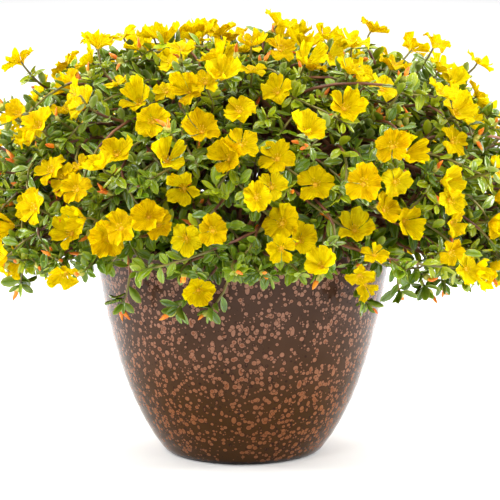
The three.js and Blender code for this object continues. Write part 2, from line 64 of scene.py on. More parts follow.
# a seeded stream of numbers from 0 to 1, the same one that the solids are drawn from
def seededStream(seed):
    mask = 0xffffffff
    state = seed

    def draw():
        nonlocal state
        state = (state + 0x6d2b79f5) & mask
        mixed = ((state ^ (state >> 15)) * (state | 1)) & mask
        mixed ^= (mixed + (((mixed ^ (mixed >> 7)) * (mixed | 61)) & mask)) & mask
        return (mixed ^ (mixed >> 14)) / (mask + 1)

    return draw


def unit(v):
    return v / max(float(np.linalg.norm(v)), 1e-12)


def between(pair, share):
    return pair[0] + (pair[1] - pair[0]) * share


def chanceVector(draw):
    return np.array((draw() - 0.5, draw() - 0.5, draw() - 0.5))


def raised(azimuth, angle):  # direction at an azimuth, lifted from the level
    flat = math.cos(angle)
    return np.array((math.cos(azimuth) * flat, math.sin(azimuth) * flat, math.sin(angle)))


def bezier(corners, t):
    t = np.asarray(t, float)[..., None]
    u = 1 - t
    return u**3 * corners[0] + 3 * u * u * t * corners[1] + 3 * u * t * t * corners[2] + t**3 * corners[3]


def basisTurn(along, facing):  # euler angles that put +X along one way and +Z near another
    side = unit(np.cross(facing, along))
    face = np.cross(along, side)
    return tuple(Matrix((along, side, face)).transposed().to_euler())


# the outline of the whole head of foliage: a squared dome that hangs over the rim
crown = {
    "centreZ": 0.205,
    "height": 0.208,
    "reach": {"right": 0.300, "left": 0.272, "front": 0.224, "back": 0.240},
    "droop": {"right": 0.088, "left": 0.044, "front": 0.014, "back": 0.044},
    "flowersFrom": {"right": 0.172, "left": 0.186, "front": 0.226, "back": 0.212},  # height they open above
    "squareness": {"right": 3.0, "left": 3.0, "front": 2.4, "back": 2.4},
    "underSquareness": 1.5,  # the underside slopes up towards the edge
}


def facingSides(x, y):
    return "right" if x > 0 else "left", "back" if y > 0 else "front"


def blended(sizes, x, y):  # a size of the crown in the direction of a point
    sideways, lengthways = facingSides(x, y)
    sideShare = x * x / max(x * x + y * y, 1e-9)
    return sideShare * sizes[sideways] + (1 - sideShare) * sizes[lengthways]


def crownSizes(x, y, rise):  # reach across and along, height and squareness in the direction of a point
    across, along = (crown["reach"][side] for side in facingSides(x, y))
    if rise > 0:
        return across, along, crown["height"], blended(crown["squareness"], x, y)
    return across, along, blended(crown["droop"], x, y), crown["underSquareness"]


def crownPoint(azimuth, polar, scale):
    x, y = math.cos(azimuth) * math.sin(polar), math.sin(azimuth) * math.sin(polar)
    rise = math.cos(polar)
    reachX, reachY, height, n = crownSizes(x, y, rise)
    fit = scale * (math.hypot(x, y) ** n + abs(rise) ** n) ** (-1 / n)
    return np.array((x * fit * reachX, y * fit * reachY, crown["centreZ"] + rise * fit * height))


def crownNormal(point):
    rise = point[2] - crown["centreZ"]
    reachX, reachY, height, n = crownSizes(point[0], point[1], rise)
    across = math.hypot(point[0] / reachX, point[1] / reachY) ** (n - 2)
    upright = max(abs(rise) / height, 1e-6) ** (n - 2)
    slope = (across * point[0] / reachX**2, across * point[1] / reachY**2, upright * rise / height**2)
    return unit(np.array(slope))


# the pot's turned profile, shared by the pot, the soil and what has to stay clear of them
pot = {
    "height": 0.212,
    "baseRadius": 0.075,
    "rimRadius": 0.145,
    "wall": 0.010,
    "baseFlare": 0.85,
    "baseReach": 0.049,
    "rimFlare": 0.12,
    "rimReach": 0.079,
    "soilTop": 0.190,
    "soilMound": 0.005,
    "wallSteps": 44,
    "sides": 144,
    "lip": 0.004,
    "throwing": 0.00022,  # height of the rings that turning left in the wall
    "throwingWaves": (1.9, 0.37),
    "wallSpan": (0.02, 0.985),  # stretch of the curve between the base's edge and the lip
    "baseEdge": ((0.004, 0), (0.001, 0.0006)),  # inset and height of the base's rounded edge
    "lipSteps": 8,
    "insideSkip": 3,  # the inner wall has one ring for so many of the outer wall
    "insideFrom": 0.02,
    "floor": 0.015,
    "floorInset": 0.012,
}
potCurve = np.array((
    (pot["baseRadius"], 0, 0),
    (pot["baseRadius"] + pot["baseFlare"] * pot["baseReach"], 0, pot["baseReach"]),
    (pot["rimRadius"] - pot["rimFlare"] * pot["rimReach"], 0, pot["height"] - pot["rimReach"]),
    (pot["rimRadius"], 0, pot["height"]),
))


def clearOfPot(points, margin):
    out = np.hypot(points[:, 0], points[:, 1])
    over = points[:, 2] > pot["height"] + margin
    outside = out > pot["rimRadius"] + margin
    inside = (out < pot["rimRadius"] - pot["wall"] - margin) & (points[:, 2] > pot["soilTop"] + margin)
    return bool(np.all(over | outside | inside))


# rings of boughs from the top down, with angles in degrees, as in the solids
boughs = {
    "rings": [
        {"name": "top", "count": 1, "turn": 0, "polar": 4, "leave": 88, "arrive": 82, "split": 0.56},
        {"name": "upper", "count": 5, "turn": 18, "polar": 40, "leave": 58, "arrive": 38, "split": 0.56},
        {"name": "shoulder", "count": 8, "turn": 22.5, "polar": 68, "leave": 32, "arrive": 8, "split": 0.58},
        {"name": "skirt", "count": 8, "turn": 0, "polar": 97, "leave": 12, "arrive": -40, "split": 0.5},
    ],
    "headRadius": 0.018,
    "headCentre": 0.2043,
    "seam": 0.0003,
    "tipScale": 0.93,  # share of the crown that the tips reach
    "handle": 0.36,
    "anchor": 0.55,  # place of a mass's centre, from the split to the tip
    "rootRadius": 0.0027,
    "tipRadius": 0.0011,
    "steps": 22,
    "sides": 9,
    "relief": 0.0005,
    "grain": 260.0,
    "leafFrom": 0.1,  # share of a bough past its split that is bare
}


def plannedBough(ring, index):
    azimuth = math.radians(ring["turn"]) + 2 * math.pi * index / ring["count"]
    tip = crownPoint(azimuth, math.radians(ring["polar"]), boughs["tipScale"])
    heading = math.atan2(tip[1], tip[0])
    leave = raised(heading, math.radians(ring["leave"]))
    arrive = raised(heading, math.radians(ring["arrive"]))
    start = np.array((0, 0, boughs["headCentre"])) + leave * (boughs["headRadius"] + boughs["seam"])
    handle = boughs["handle"] * np.linalg.norm(tip - start)
    corners = np.array((start, start + leave * handle, tip - arrive * handle, tip))
    anchor = bezier(corners, ring["split"] + boughs["anchor"] * (1 - ring["split"]))
    return {"ring": ring["name"], "corners": corners, "split": ring["split"], "tip": tip, "anchor": anchor}


limbs = [plannedBough(ring, i) for ring in boughs["rings"] for i in range(ring["count"])]
anchors = np.array([limb["anchor"] for limb in limbs])


def nearestMass(point):
    return int(((anchors - point) ** 2).sum(1).argmin())


def depthInCell(point, owner):  # distance to the planes halfway to the other masses
    apart = np.linalg.norm(anchors - anchors[owner], axis=1)
    farther = ((anchors - point) ** 2).sum(1) - ((anchors[owner] - point) ** 2).sum()
    others = np.arange(len(anchors)) != owner
    return float((farther[others] / (2 * apart[others])).min())


# where shoots end: the solids' own tips, the trailing ones, and many finer ones within the same reach
shootRule = {
    "seed": 7026,
    "count": 96,
    "lowestPolar": 114,
    "scale": (0.92, 1.01),
    "wander": 0.07,
    "drawSteps": 6,  # tips near another mass are drawn in towards their own bough
    "drawShare": 0.08,
    "flowerRoom": 0.021,
    "finer": (  # finer shoots: how many, the lowest polar angle, the share of the crown they reach
        {"kind": "blossom", "count": 340, "lowestPolar": 98, "scale": (0.82, 0.93)},
        {"kind": "leafy", "count": 380, "lowestPolar": 102, "scale": (0.72, 0.905)},
        {"kind": "arching", "count": 140, "lowestPolar": 100, "scale": (0.90, 0.96)},
        {"kind": "inner", "count": 160, "lowestPolar": 102, "scale": (0.50, 0.74)},
        {"kind": "running", "count": 700, "lowestPolar": 112, "scale": (0.84, 0.98)},
    ),
    "runFrom": 80,  # running shoots are kept below this polar angle, near the two ends
    "runEnds": 0.80,
    "runLeaveAt": (0.10, 0.36),
    "fringe": {"below": 0.232, "tufts": 5.0, "phase": 13.32, "spread": 0.0, "shortTo": 8},  # lower edge
    "openEnds": {"from": 0.15, "below": {"right": 0.262, "left": 0.250}, "kept": 0.35},  # thinned out there
    "runners": 0.55,  # share of finer shoots that run along under the surface
    "slant": 0.45,  # how far to one side they come from
    "sweep": 0.80,  # how far round the crown an arching shoot may run
    "leaveAt": (0.30, 0.72),
    "steps": 11,
    "wave": 0.0026,
    "rootRadius": 0.0020,
    "tipRadius": 0.0010,
    "greenFrom": 0.76,
    "sides": 5,
    "relief": 0.0003,
    "grain": 400.0,
    "spotFrom": 0.02,  # spots that show where a line runs: from its foot on, up to its tip, this far apart
    "spotTo": 0.03,
    "spotApart": 0.005,
    "flowerShare": {"main": 0.85, "blossom": 1.0, "hanging": 1.0, "arching": 0.45, "running": 0.5},
    "budShare": {"main": 0.9, "leafy": 0.5, "arching": 0.9, "running": 0.4, "blossom": 0.6, "trailing": 1.0},
    "lowBuds": 0.55,  # share of their buds that shoots below the flowers keep
    "flowerStalk": 0.005,
}
trailing = {
    "azimuths": (227, 248, 259, 315),
    "radius": 0.163,
    "drop": 0.050,
    "hangingAzimuths": (257, 308, 30, 80, 130),  # shoots that hang a flower over the rim
    "hangingRadius": 0.176,
    "hangingDrop": 0.026,
    "sprigs": ((322, 0.186), (332, 0.194), (343, 0.198), (199, 0.222)),  # azimuth and radius, beside the pot
    "sprigDrop": 0.040,
    "sprigSeed": 44,
    "slant": 0.30,  # how far they slant down the pot's face, away from the front
}
hangingKinds = ("trailing", "hanging")


def latticeAngles(count, lowestPolar, draw):
    lowest = math.cos(math.radians(lowestPolar))
    angles = []
    for i in range(count):
        rise = 1 - (1 - lowest) * (i + 0.5) / count
        azimuth = i * goldenAngle + (draw() - 0.5) * shootRule["wander"] * 2
        polar = math.acos(rise) + (draw() - 0.5) * shootRule["wander"] * 2
        angles.append((azimuth, polar))
    return angles


def drawnIn(point, owner):
    for _ in range(shootRule["drawSteps"]):
        if depthInCell(point, owner) >= shootRule["flowerRoom"]:
            break
        point = point + (limbs[owner]["tip"] - point) * shootRule["drawShare"]
    return point


def hungShoot(kind, angle, radius, drop):  # a shoot that ends below the rim
    azimuth = math.radians(angle)
    tip = raised(azimuth, 0) * radius + upward * (pot["height"] - drop)
    return {"kind": kind, "azimuth": azimuth, "tip": tip, "owner": nearestMass(tip)}


def lowAtEnds(azimuth, polar):
    return polar > math.radians(shootRule["runFrom"]) and abs(math.cos(azimuth)) > shootRule["runEnds"]


def plannedShoots(draw):
    shoots = []
    for azimuth, polar in latticeAngles(shootRule["count"], shootRule["lowestPolar"], draw):
        tip = crownPoint(azimuth, polar, between(shootRule["scale"], draw()))
        owner = nearestMass(tip)
        tip = drawnIn(tip, owner)
        shoots.append({"kind": "main", "azimuth": azimuth, "polar": polar, "tip": tip, "owner": owner})
    for angle in trailing["hangingAzimuths"]:
        shoots.append(hungShoot("hanging", angle, trailing["hangingRadius"], trailing["hangingDrop"]))
    for angle in trailing["azimuths"]:
        shoots.append(hungShoot("trailing", angle, trailing["radius"], trailing["drop"]))
    for finer in shootRule["finer"]:
        for azimuth, polar in latticeAngles(finer["count"], finer["lowestPolar"], draw):
            tip = crownPoint(azimuth, polar, between(finer["scale"], draw()))
            angles = {"azimuth": azimuth, "polar": polar}
            if finer["kind"] != "running" or lowAtEnds(azimuth, polar):
                shoots.append({"kind": finer["kind"], "tip": tip, "owner": nearestMass(tip), **angles})
    return shoots


def underEnds(tip):  # low at either end, where shoots are thinned out
    ends = shootRule["openEnds"]
    return abs(tip[0]) > ends["from"] and tip[2] < ends["below"][facingSides(tip[0], tip[1])[0]]


def betweenTufts(azimuth, tip):  # where the shoots of the lower edge stay short
    edge = shootRule["fringe"]
    around = Vector((math.cos(azimuth), math.sin(azimuth), edge["phase"])) * edge["tufts"]
    return tip[2] < edge["below"] and noise.noise(around) < edge["spread"]


# how the lines of shoots bend: angles in degrees, handles as shares of the reach,
# and corners by their smallest polar angle in radians and their share of the crown
lineRule = {
    "slopeStep": 0.02,
    "hanging": {"lift": 14, "leave": 0.62, "arrive": 0.30},
    "running": {"tilt": 0.3, "riseChance": 0.3, "fallChance": 0.5, "leave": 0.42, "arrive": 0.36},
    "arching": {
        "climb": 46,
        "sweptClimb": 20,
        "over": (0.12, 0.82),
        "nearTurn": 0.42,
        "nearClimb": 0.44,
        "near": (0.08, 1.02),
        "chance": 0.2,
    },
    "under": {
        "climb": 40,
        "over": (0.12, 0.64),
        "nearTurn": 0.5,
        "nearClimb": 14,
        "near": (0.08, 0.95),
        "turnChance": 0.4,
        "chance": 0.03,
    },
    "straight": {"outward": 0.6, "upward": 0.3, "slope": 0.5, "chance": 0.7, "leave": 0.38, "arrive": 0.34},
    "waves": (9, 8),
    "tries": 4,
    "lift": 0.012,  # over the rim, after each try
    "clear": 0.003,
}


def cornerAt(azimuth, polar, smallest, share):
    return crownPoint(azimuth, max(polar, smallest), share)


# the line of a shoot from its bough to its tip: straight out, along under the surface, or over and down
def shootCorners(shoot, draw):
    limb, tip, kind = limbs[shoot["owner"]], shoot["tip"], shoot["kind"]
    azimuth = shoot["azimuth"]
    leaveAt = between(shootRule["runLeaveAt" if kind == "running" else "leaveAt"], draw())
    start = bezier(limb["corners"], leaveAt)
    slope = unit(bezier(limb["corners"], leaveAt + lineRule["slopeStep"]) - start)
    reach = float(np.linalg.norm(tip - start))
    runs = draw() < shootRule["runners"]
    chance = chanceVector(draw)
    if kind in hangingKinds:
        bend = lineRule["hanging"]
        out = raised(azimuth, math.radians(bend["lift"]))
        along = np.cross(out, upward) * math.copysign(trailing["slant"], math.cos(azimuth))
        arrive = tip + (upward * bend["arrive"] + along) * reach
        return [start, start + out * reach * bend["leave"], arrive, tip]
    if kind == "running":
        bend = lineRule["running"]
        out = raised(azimuth, 0)
        rise = unit(out + upward * bend["tilt"] + chance * bend["riseChance"])
        fall = unit(out - upward * bend["tilt"] + chance * bend["fallChance"])
        return [start, start + rise * reach * bend["leave"], tip - fall * reach * bend["arrive"], tip]
    polar = shoot["polar"]
    if kind == "arching":
        bend = lineRule["arching"]
        sweep = math.copysign(shootRule["sweep"], math.sin(2 * azimuth)) if runs else 0  # out to the ends
        climb = math.radians(bend["sweptClimb" if runs else "climb"])
        nearAzimuth = azimuth + sweep * bend["nearTurn"] + chance[0] * bend["chance"]
        over = cornerAt(azimuth + sweep, polar - climb, *bend["over"])
        near = cornerAt(nearAzimuth, polar - climb * bend["nearClimb"], *bend["near"])
        return [start, over, near, tip]
    if runs and kind in ("leafy", "blossom"):
        bend = lineRule["under"]
        aside = math.copysign(shootRule["slant"], chance[0]) + chance[1] * bend["turnChance"]
        over = cornerAt(azimuth + aside, polar - math.radians(bend["climb"]), *bend["over"])
        nearPolar = polar - math.radians(bend["nearClimb"])
        near = cornerAt(azimuth + aside * bend["nearTurn"], nearPolar, *bend["near"])
        return [start, over, near + chance * bend["chance"], tip]
    bend = lineRule["straight"]
    lean = crownNormal(tip) * bend["outward"] + upward * bend["upward"] + slope * bend["slope"]
    arrive = unit(lean + chance * bend["chance"])
    direct = unit(slope + (tip - start) / reach)
    return [start, start + direct * reach * bend["leave"], tip - arrive * reach * bend["arrive"], tip]


def shootPath(shoot, draw):
    corners = np.array(shootCorners(shoot, draw))
    t = np.linspace(0, 1, shootRule["steps"])
    phase = (draw() * anyTurn, draw() * anyTurn)
    for _ in range(lineRule["tries"]):
        line = bezier(corners, t)
        swing = np.sin(math.pi * t) * shootRule["wave"]
        line[:, 0] += swing * np.sin(phase[0] + lineRule["waves"][0] * t)
        line[:, 1] += swing * np.cos(phase[1] + lineRule["waves"][1] * t)
        if clearOfPot(line[2:], lineRule["clear"]):
            return line
        corners[1:3, 2] += lineRule["lift"]
    return None


# points and directions at distances along a line
def pointsAlong(line, distances):
    lengths = np.concatenate(([0], np.cumsum(np.linalg.norm(np.diff(line, axis=0), axis=1))))
    step = 0.002

    def at(d):
        return np.stack([np.interp(d, lengths, line[:, axis]) for axis in range(3)], axis=1)

    distances = np.asarray(distances)
    low, high = np.maximum(distances - step, 0), np.minimum(distances + step, lengths[-1])
    heading = at(high) - at(low)
    heading /= np.maximum(np.linalg.norm(heading, axis=1, keepdims=True), 1e-9)
    return at(distances), heading


def lengthOf(line):
    return float(np.linalg.norm(np.diff(line, axis=0), axis=1).sum())


def spotsOf(line, bare):  # points close together along a line, up to a distance from its tip
    end = max(lengthOf(line) - bare, shootRule["spotTo"])
    return pointsAlong(line, np.arange(shootRule["spotFrom"], end, shootRule["spotApart"]))[0]


# leaves stand round a shoot by the golden angle and turn their faces to the light
leafRule = {
    "length": 0.0188,
    "width": 0.0093,
    "thick": 0.0013,
    "spacing": 0.0072,
    "startAt": (0.30, 0.58),  # share of the shoot that is bare
    "archingStart": (0.74, 0.86),
    "spread": (46, 80),  # degrees between a leaf and its shoot
    "outward": 0.35,
    "sizes": (0.74, 1.12),
    "rosette": 7,
    "rosetteSizes": (0.5, 0.85),
    "freshTips": 0.28,  # share of shoots that end in young leaves
    "trailingScale": 1.3,  # of the leaves that end a trailing shoot
    "underFlower": 0.012,  # how far below a flower its leaves stand
    "tints": {  # share of the shoots in each green, from the top of the head down: the painted sheen is dealt most near the top, where the light falls from above, and darker greens further down
        "upper": (("dark", 0.06), ("mid", 0.26), ("silver", 0.50), ("young", 0.18)),
        "shoulder": (("dark", 0.34), ("mid", 0.26), ("silver", 0.28), ("young", 0.12)),
        "skirt": (("dark", 0.46), ("mid", 0.34), ("silver", 0.12), ("young", 0.08)),
    },
    "lowTints": 2,  # how many of them shoots below the flowers keep to
    "shapes": 5,  # as many as the leaf has, further down
    "clear": 0.002,
    "bendOut": 0.8,  # how far leaves bend round towards the light, and where they face
    "faceOut": 0.8,
    "faceUp": 0.55,
    "faceChance": 0.8,
    "tipRoom": 0.007,
    "rosetteSpan": (0.007, 0.001),
    "rosetteSpread": 88,
    "rosetteClose": 34,
    "rosetteOutward": 0.6,
    "rosetteUneven": 0.2,
    "flowerSpread": 92,
}
offUpright = upward + 0.01  # never quite along a shoot that stands upright
ringGroups = {"top": "upper", "upper": "upper", "shoulder": "shoulder", "skirt": "skirt"}
leafPlaces = {}
flowerPlaces = {}
budPlaces = []
flowerDiscs = []
brownLines, greenLines = [], []
stemSpots = []


def pickTint(share, group, low):
    for tint, part in leafRule["tints"][group][:leafRule["lowTints"] if low else None]:
        share -= part
        if share < 0:
            return tint
    return "dark"


def addLeaf(tint, group, root, along, facing, size, draw):
    blade = along * leafRule["length"] * size
    shape = int(draw() * leafRule["shapes"])
    if clearOfPot(np.array((root + blade, root + blade / 2)), leafRule["clear"]):
        place = (root, basisTurn(along, facing), size, shape, root + blade)
        leafPlaces.setdefault((tint, group), []).append(place)


def leafWay(heading, turn, spread, outward, draw):
    first = unit(np.cross(heading, offUpright))
    second = np.cross(heading, first)
    side = first * math.cos(turn) + second * math.sin(turn)
    along = heading * math.cos(spread) + side * math.sin(spread) + outward * leafRule["outward"]
    inward = float(np.dot(along, outward))
    if inward < 0:
        along = along - outward * inward * leafRule["bendOut"]
    facing = outward * leafRule["faceOut"] + upward * leafRule["faceUp"]
    facing = facing + chanceVector(draw) * leafRule["faceChance"]
    return unit(along), facing


def growLeaves(line, startAt, bare, tint, group, draw):
    length = lengthOf(line)
    distances = np.arange(length * startAt, length - bare - leafRule["tipRoom"], leafRule["spacing"])
    if len(distances) == 0:
        return
    turn = draw() * anyTurn
    for i, (root, heading) in enumerate(zip(*pointsAlong(line, distances))):
        spread = math.radians(between(leafRule["spread"], draw()))
        along, facing = leafWay(heading, turn + i * goldenAngle, spread, crownNormal(root), draw)
        addLeaf(tint, group, root, along, facing, between(leafRule["sizes"], draw()), draw)


def growRosette(line, tint, group, flowers, scale, draw):
    count, uneven = leafRule["rosette"], leafRule["rosetteUneven"]
    length = lengthOf(line) - (leafRule["underFlower"] if flowers else 0)
    distances = length - np.linspace(*leafRule["rosetteSpan"], count)
    turn = draw() * anyTurn
    for i, (root, heading) in enumerate(zip(*pointsAlong(line, distances))):
        spread = leafRule["rosetteSpread"] - leafRule["rosetteClose"] * i / count
        spread = math.radians(leafRule["flowerSpread"] if flowers else spread)
        outward = crownNormal(root) * (0.0 if flowers else leafRule["rosetteOutward"])
        along, facing = leafWay(heading, turn + i * goldenAngle, spread, outward, draw)
        size = scale * between(leafRule["rosetteSizes"], 1 - i / count) * (1 - uneven / 2 + uneven * draw())
        addLeaf(tint, group, root, along, facing, size, draw)


# the flower or bud that ends a shoot
endRule = {
    "upturn": 0.35,  # how far flowers turn up and out, and lean by chance
    "outward": 0.40,
    "lean": 1.3,
    "hangingLean": 0.5,
    "apart": 0.0148,  # least distance between two flowers
    "lower": 0.014,  # how far below the solids' lowest flowers the finer ones open
    "clusters": 13.0,  # clusters of flowers to the metre, and how far they spread
    "clusterSpread": -0.62,
    "clearRadius": 0.0155,  # the space in front of a flower that stays free
    "clearHeight": 0.024,
    "clearBelow": 0.002,
    "clearStalk": 0.012,  # the end of a shoot that a flower may open over
    "sizes": (0.80, 1.04),
    "tints": ("lemon", "gold", "gold", "deep"),
    "shapes": 11,  # as many as the flower and the bud have, further down
    "budShapes": 3,
    "budSizes": (0.75, 1.3),
    "budLength": 0.015,
    "budUp": 0.5,  # how far buds turn up and out, and lean by chance
    "budOut": 0.4,
    "budLean": 1.1,
    "budAside": 1.4,  # how far they stand to the side of a flower
    "budBelow": 0.001,
    "secondBud": 0.4,
}


def flowerFacing(tip, hangs, draw):
    outward = unit(np.array((tip[0], tip[1], 0.0)))
    way = crownNormal(tip) + outward * endRule["outward"] + upward * endRule["upturn"]
    if hangs:
        way = outward
    return unit(way + chanceVector(draw) * endRule["hangingLean" if hangs else "lean"])


def inDisc(tip, facing, spots):  # which spots stand in front of an open flower
    offset = spots - tip
    height = offset @ facing
    out = np.sqrt(np.maximum((offset**2).sum(1) - height**2, 0))
    level = (height > -endRule["clearBelow"]) & (height < endRule["clearHeight"])
    return level & (out < endRule["clearRadius"])


def inFlowers(spots):
    blocked = np.zeros(len(spots), bool)
    for tip, facing in flowerDiscs:
        blocked |= inDisc(tip, facing, spots)
    return blocked


def growFlower(tip, facing, draw):
    along = unit(np.cross(chanceVector(draw), facing))
    tint = endRule["tints"][int(draw() * len(endRule["tints"]))]
    size = between(endRule["sizes"], draw())
    place = (tip, basisTurn(along, facing), size, int(draw() * endRule["shapes"]))
    flowerPlaces.setdefault(tint, []).append(place)
    flowerDiscs.append((tip, facing))


def roomForFlower(tip, facing, kind):
    lowest = blended(crown["flowersFrom"], tip[0], tip[1]) - (endRule["lower"] if kind == "blossom" else 0)
    if kind != "hanging" and tip[2] < lowest:
        return False
    if kind == "blossom" and noise.noise(Vector(tip) * endRule["clusters"]) < endRule["clusterSpread"]:
        return False
    if inDisc(tip, facing, np.concatenate(stemSpots)).any():
        return False  # no flower opens over another shoot
    return all(np.linalg.norm(tip - other) > endRule["apart"] for other, _ in flowerDiscs)


def growBud(root, heading, draw):
    way = heading + upward * endRule["budUp"] + crownNormal(root) * endRule["budOut"]
    way = unit(way + chanceVector(draw) * endRule["budLean"])
    facing = unit(np.cross(way, chanceVector(draw)))
    size = between(endRule["budSizes"], draw())
    end = root + way * endRule["budLength"] * size
    budPlaces.append((root, basisTurn(way, facing), size, int(draw() * endRule["budShapes"]), end))


def growSpray(shoot, line, draw):
    kind = shoot["kind"]
    hangs = kind in hangingKinds
    group = ringGroups[limbs[shoot["owner"]]["ring"]]
    low = line[-1][2] < blended(crown["flowersFrom"], line[-1][0], line[-1][1])
    tint = "dark" if hangs or kind == "inner" else pickTint(draw(), group, low)
    if kind in ("leafy", "inner") and underEnds(line[-1]) and draw() > shootRule["openEnds"]["kept"]:
        return
    if kind == "leafy" and betweenTufts(shoot["azimuth"], line[-1]):
        line = line[:shootRule["fringe"]["shortTo"]]
    if inFlowers(spotsOf(line, 0)).any():
        return  # no shoot runs through an open flower
    facing = flowerFacing(line[-1], hangs, draw)
    flowers = draw() < shootRule["flowerShare"].get(kind, 0) and roomForFlower(line[-1], facing, kind)
    if flowers:
        line = np.vstack((line, line[-1] + facing * shootRule["flowerStalk"]))
        growFlower(line[-1], facing, draw)
    bare = leafRule["underFlower"] if flowers else 0
    startAt = leafRule["archingStart" if kind in ("arching", "running", "trailing") else "startAt"]
    growLeaves(line, between(startAt, draw()), bare, tint, group, draw)
    scale = leafRule["trailingScale"] if kind == "trailing" else 1.0
    fresh = draw() < leafRule["freshTips"] and kind != "inner" and not low
    growRosette(line, "young" if fresh else tint, group, flowers, scale, draw)
    root, heading = (found[0] for found in pointsAlong(line, [lengthOf(line) - endRule["budBelow"] - bare]))
    if draw() < shootRule["budShare"].get(kind, 0) * (shootRule["lowBuds"] if low and not hangs else 1):
        growBud(root, unit(heading + chanceVector(draw) * (endRule["budAside"] if flowers else 0)), draw)
        if draw() < endRule["secondBud"]:
            growBud(root, unit(heading + chanceVector(draw)), draw)
    stemSpots.append(spotsOf(line, endRule["clearStalk"]))
    cut = int(shootRule["greenFrom"] * (len(line) - 1))
    radii = np.linspace(shootRule["rootRadius"], shootRule["tipRadius"], len(line))
    brownLines.append((line[:cut + 1], radii[:cut + 1]))
    greenLines.append((line[cut:], radii[cut:]))


def growShoot(shoot, draw):
    line = shootPath(shoot, draw)
    if line is not None:
        growSpray(shoot, line, draw)


# leaves and buds that would stand in front of an open flower are taken out
def clearedPlaces(places):
    roots, ends = (np.array([place[column] for place in places]) for column in (0, 4))
    blocked = inFlowers(ends) | inFlowers((roots + ends) / 2)
    return [place for place, gone in zip(places, blocked) if not gone]


draw = seededStream(shootRule["seed"])
shoots = plannedShoots(draw)
boughLines = []
for limb in limbs:
    line = bezier(limb["corners"], np.linspace(0, 1, boughs["steps"]))
    boughLines.append((line, np.linspace(boughs["rootRadius"], boughs["tipRadius"], boughs["steps"])))
    stemSpots.append(spotsOf(line, 0))
    group = ringGroups[limb["ring"]]
    growLeaves(line, limb["split"] + boughs["leafFrom"], 0, "dark", group, draw)
    growRosette(line, "mid", group, False, 1.0, draw)
for shoot in sorted(shoots, key=lambda each: each["kind"] not in hangingKinds):
    growShoot(shoot, draw)
sprigDraw = seededStream(trailing["sprigSeed"])
for angle, radius in trailing["sprigs"]:
    growShoot(hungShoot("trailing", angle, radius, trailing["sprigDrop"]), sprigDraw)
leafPlaces = {key: clearedPlaces(places) for key, places in leafPlaces.items()}
budPlaces = clearedPlaces(budPlaces)
print("rule:", len(brownLines), "shoots,", sum(map(len, leafPlaces.values())), "leaves,",
      sum(map(len, flowerPlaces.values())), "flowers,", len(budPlaces), "buds")


# node helpers, for shader trees and geometry trees alike
def feed(tree, value, socket):
    if isinstance(value, bpy.types.NodeSocket):
        tree.links.new(value, socket)
    else:
        socket.default_value = value


def openSockets(sockets):
    return [socket for socket in sockets if socket.enabled]


def addNode(tree, kind, inputs, **settings):  # inputs go by name, or by place among the open sockets
    node = tree.nodes.new(kind)
    for label, value in settings.items():
        setattr(node, label, value)
    for label, value in inputs.items():
        socket = openSockets(node.inputs)[label] if isinstance(label, int) else node.inputs[label]
        feed(tree, value, socket)
    return node


def calc(tree, operation, *values):
    return addNode(tree, "ShaderNodeMath", dict(enumerate(values)), operation=operation).outputs[0]


def times(tree, first, second):
    return calc(tree, "MULTIPLY", first, second)


def noiseOf(tree, place, scale, detail=2.0):
    inputs = {"Vector": place, "Scale": scale, "Detail": detail}
    return addNode(tree, "ShaderNodeTexNoise", inputs).outputs["Fac"]


def shade(red, green, blue):  # screen colour, 0 to 255, as linear light
    def linear(c):
        c /= 255
        return c / 12.92 if c <= 0.04045 else ((c + 0.055) / 1.055) ** 2.4

    return (linear(red), linear(green), linear(blue), 1)


def mixColour(tree, share, first, second):
    node = addNode(tree, "ShaderNodeMix", {0: share, 1: first, 2: second}, data_type="RGBA")
    return openSockets(node.outputs)[0]


def stepUp(tree, value, low, high):  # 0 below, 1 above, smooth between
    limits = {0: value, 1: low, 2: high, 3: 0.0, 4: 1.0}
    return addNode(tree, "ShaderNodeMapRange", limits, interpolation_type="SMOOTHSTEP").outputs[0]


def newFinish(name, sockets):
    finish = bpy.data.materials.new(name)
    finish.use_nodes = True
    tree = finish.node_tree
    tree.nodes.clear()
    shader = addNode(tree, "ShaderNodeBsdfPrincipled", sockets)
    addNode(tree, "ShaderNodeOutputMaterial", {"Surface": shader.outputs["BSDF"]})
    place = tree.nodes.new("ShaderNodeTexCoord").outputs["Object"]
    return finish, tree, shader, place


def bumpOf(tree, shader, height, strength, distance):
    bump = addNode(tree, "ShaderNodeBump", {"Height": height, "Strength": strength, "Distance": distance})
    tree.links.new(bump.outputs["Normal"], shader.inputs["Normal"])


# a living surface: two close tones that drift over it, and a fine grain
driftSpan = (0.35, 0.65)
grainStrength = 0.5


def driftShare(tree, place, scale):
    return stepUp(tree, noiseOf(tree, place, scale, 3.0), *driftSpan)


def livingFinish(name, deep, pale, roughness, drift, grain, depth):
    finish, tree, shader, place = newFinish(name, {"Roughness": roughness})
    feed(tree, mixColour(tree, driftShare(tree, place, drift), deep, pale), shader.inputs["Base Color"])
    bumpOf(tree, shader, noiseOf(tree, place, grain), grainStrength, depth)
    return finish


def attributeOf(tree, name):
    return addNode(tree, "ShaderNodeAttribute", {}, attribute_name=name).outputs


# leaf skin: drifting greens, with a painted highlight along the margins and the midrib and a painted sheen on
# the swollen halves
leafSkin = {
    "shine": 0.46,
    "drift": 70,
    "paintedSheen": 110,
    "paintedSheenTone": shade(196, 208, 164),
    "paintedSheenSpan": (0.42, 0.60),
    "paintedSheenAcross": (0.62, 0.10),  # from where the painted sheen thins out to where it is full
    "edgeHighlightPower": 4.0,
    "edgeHighlightShare": 0.65,
    "grain": 560,
    "bump": (0.6, 0.0006),
}
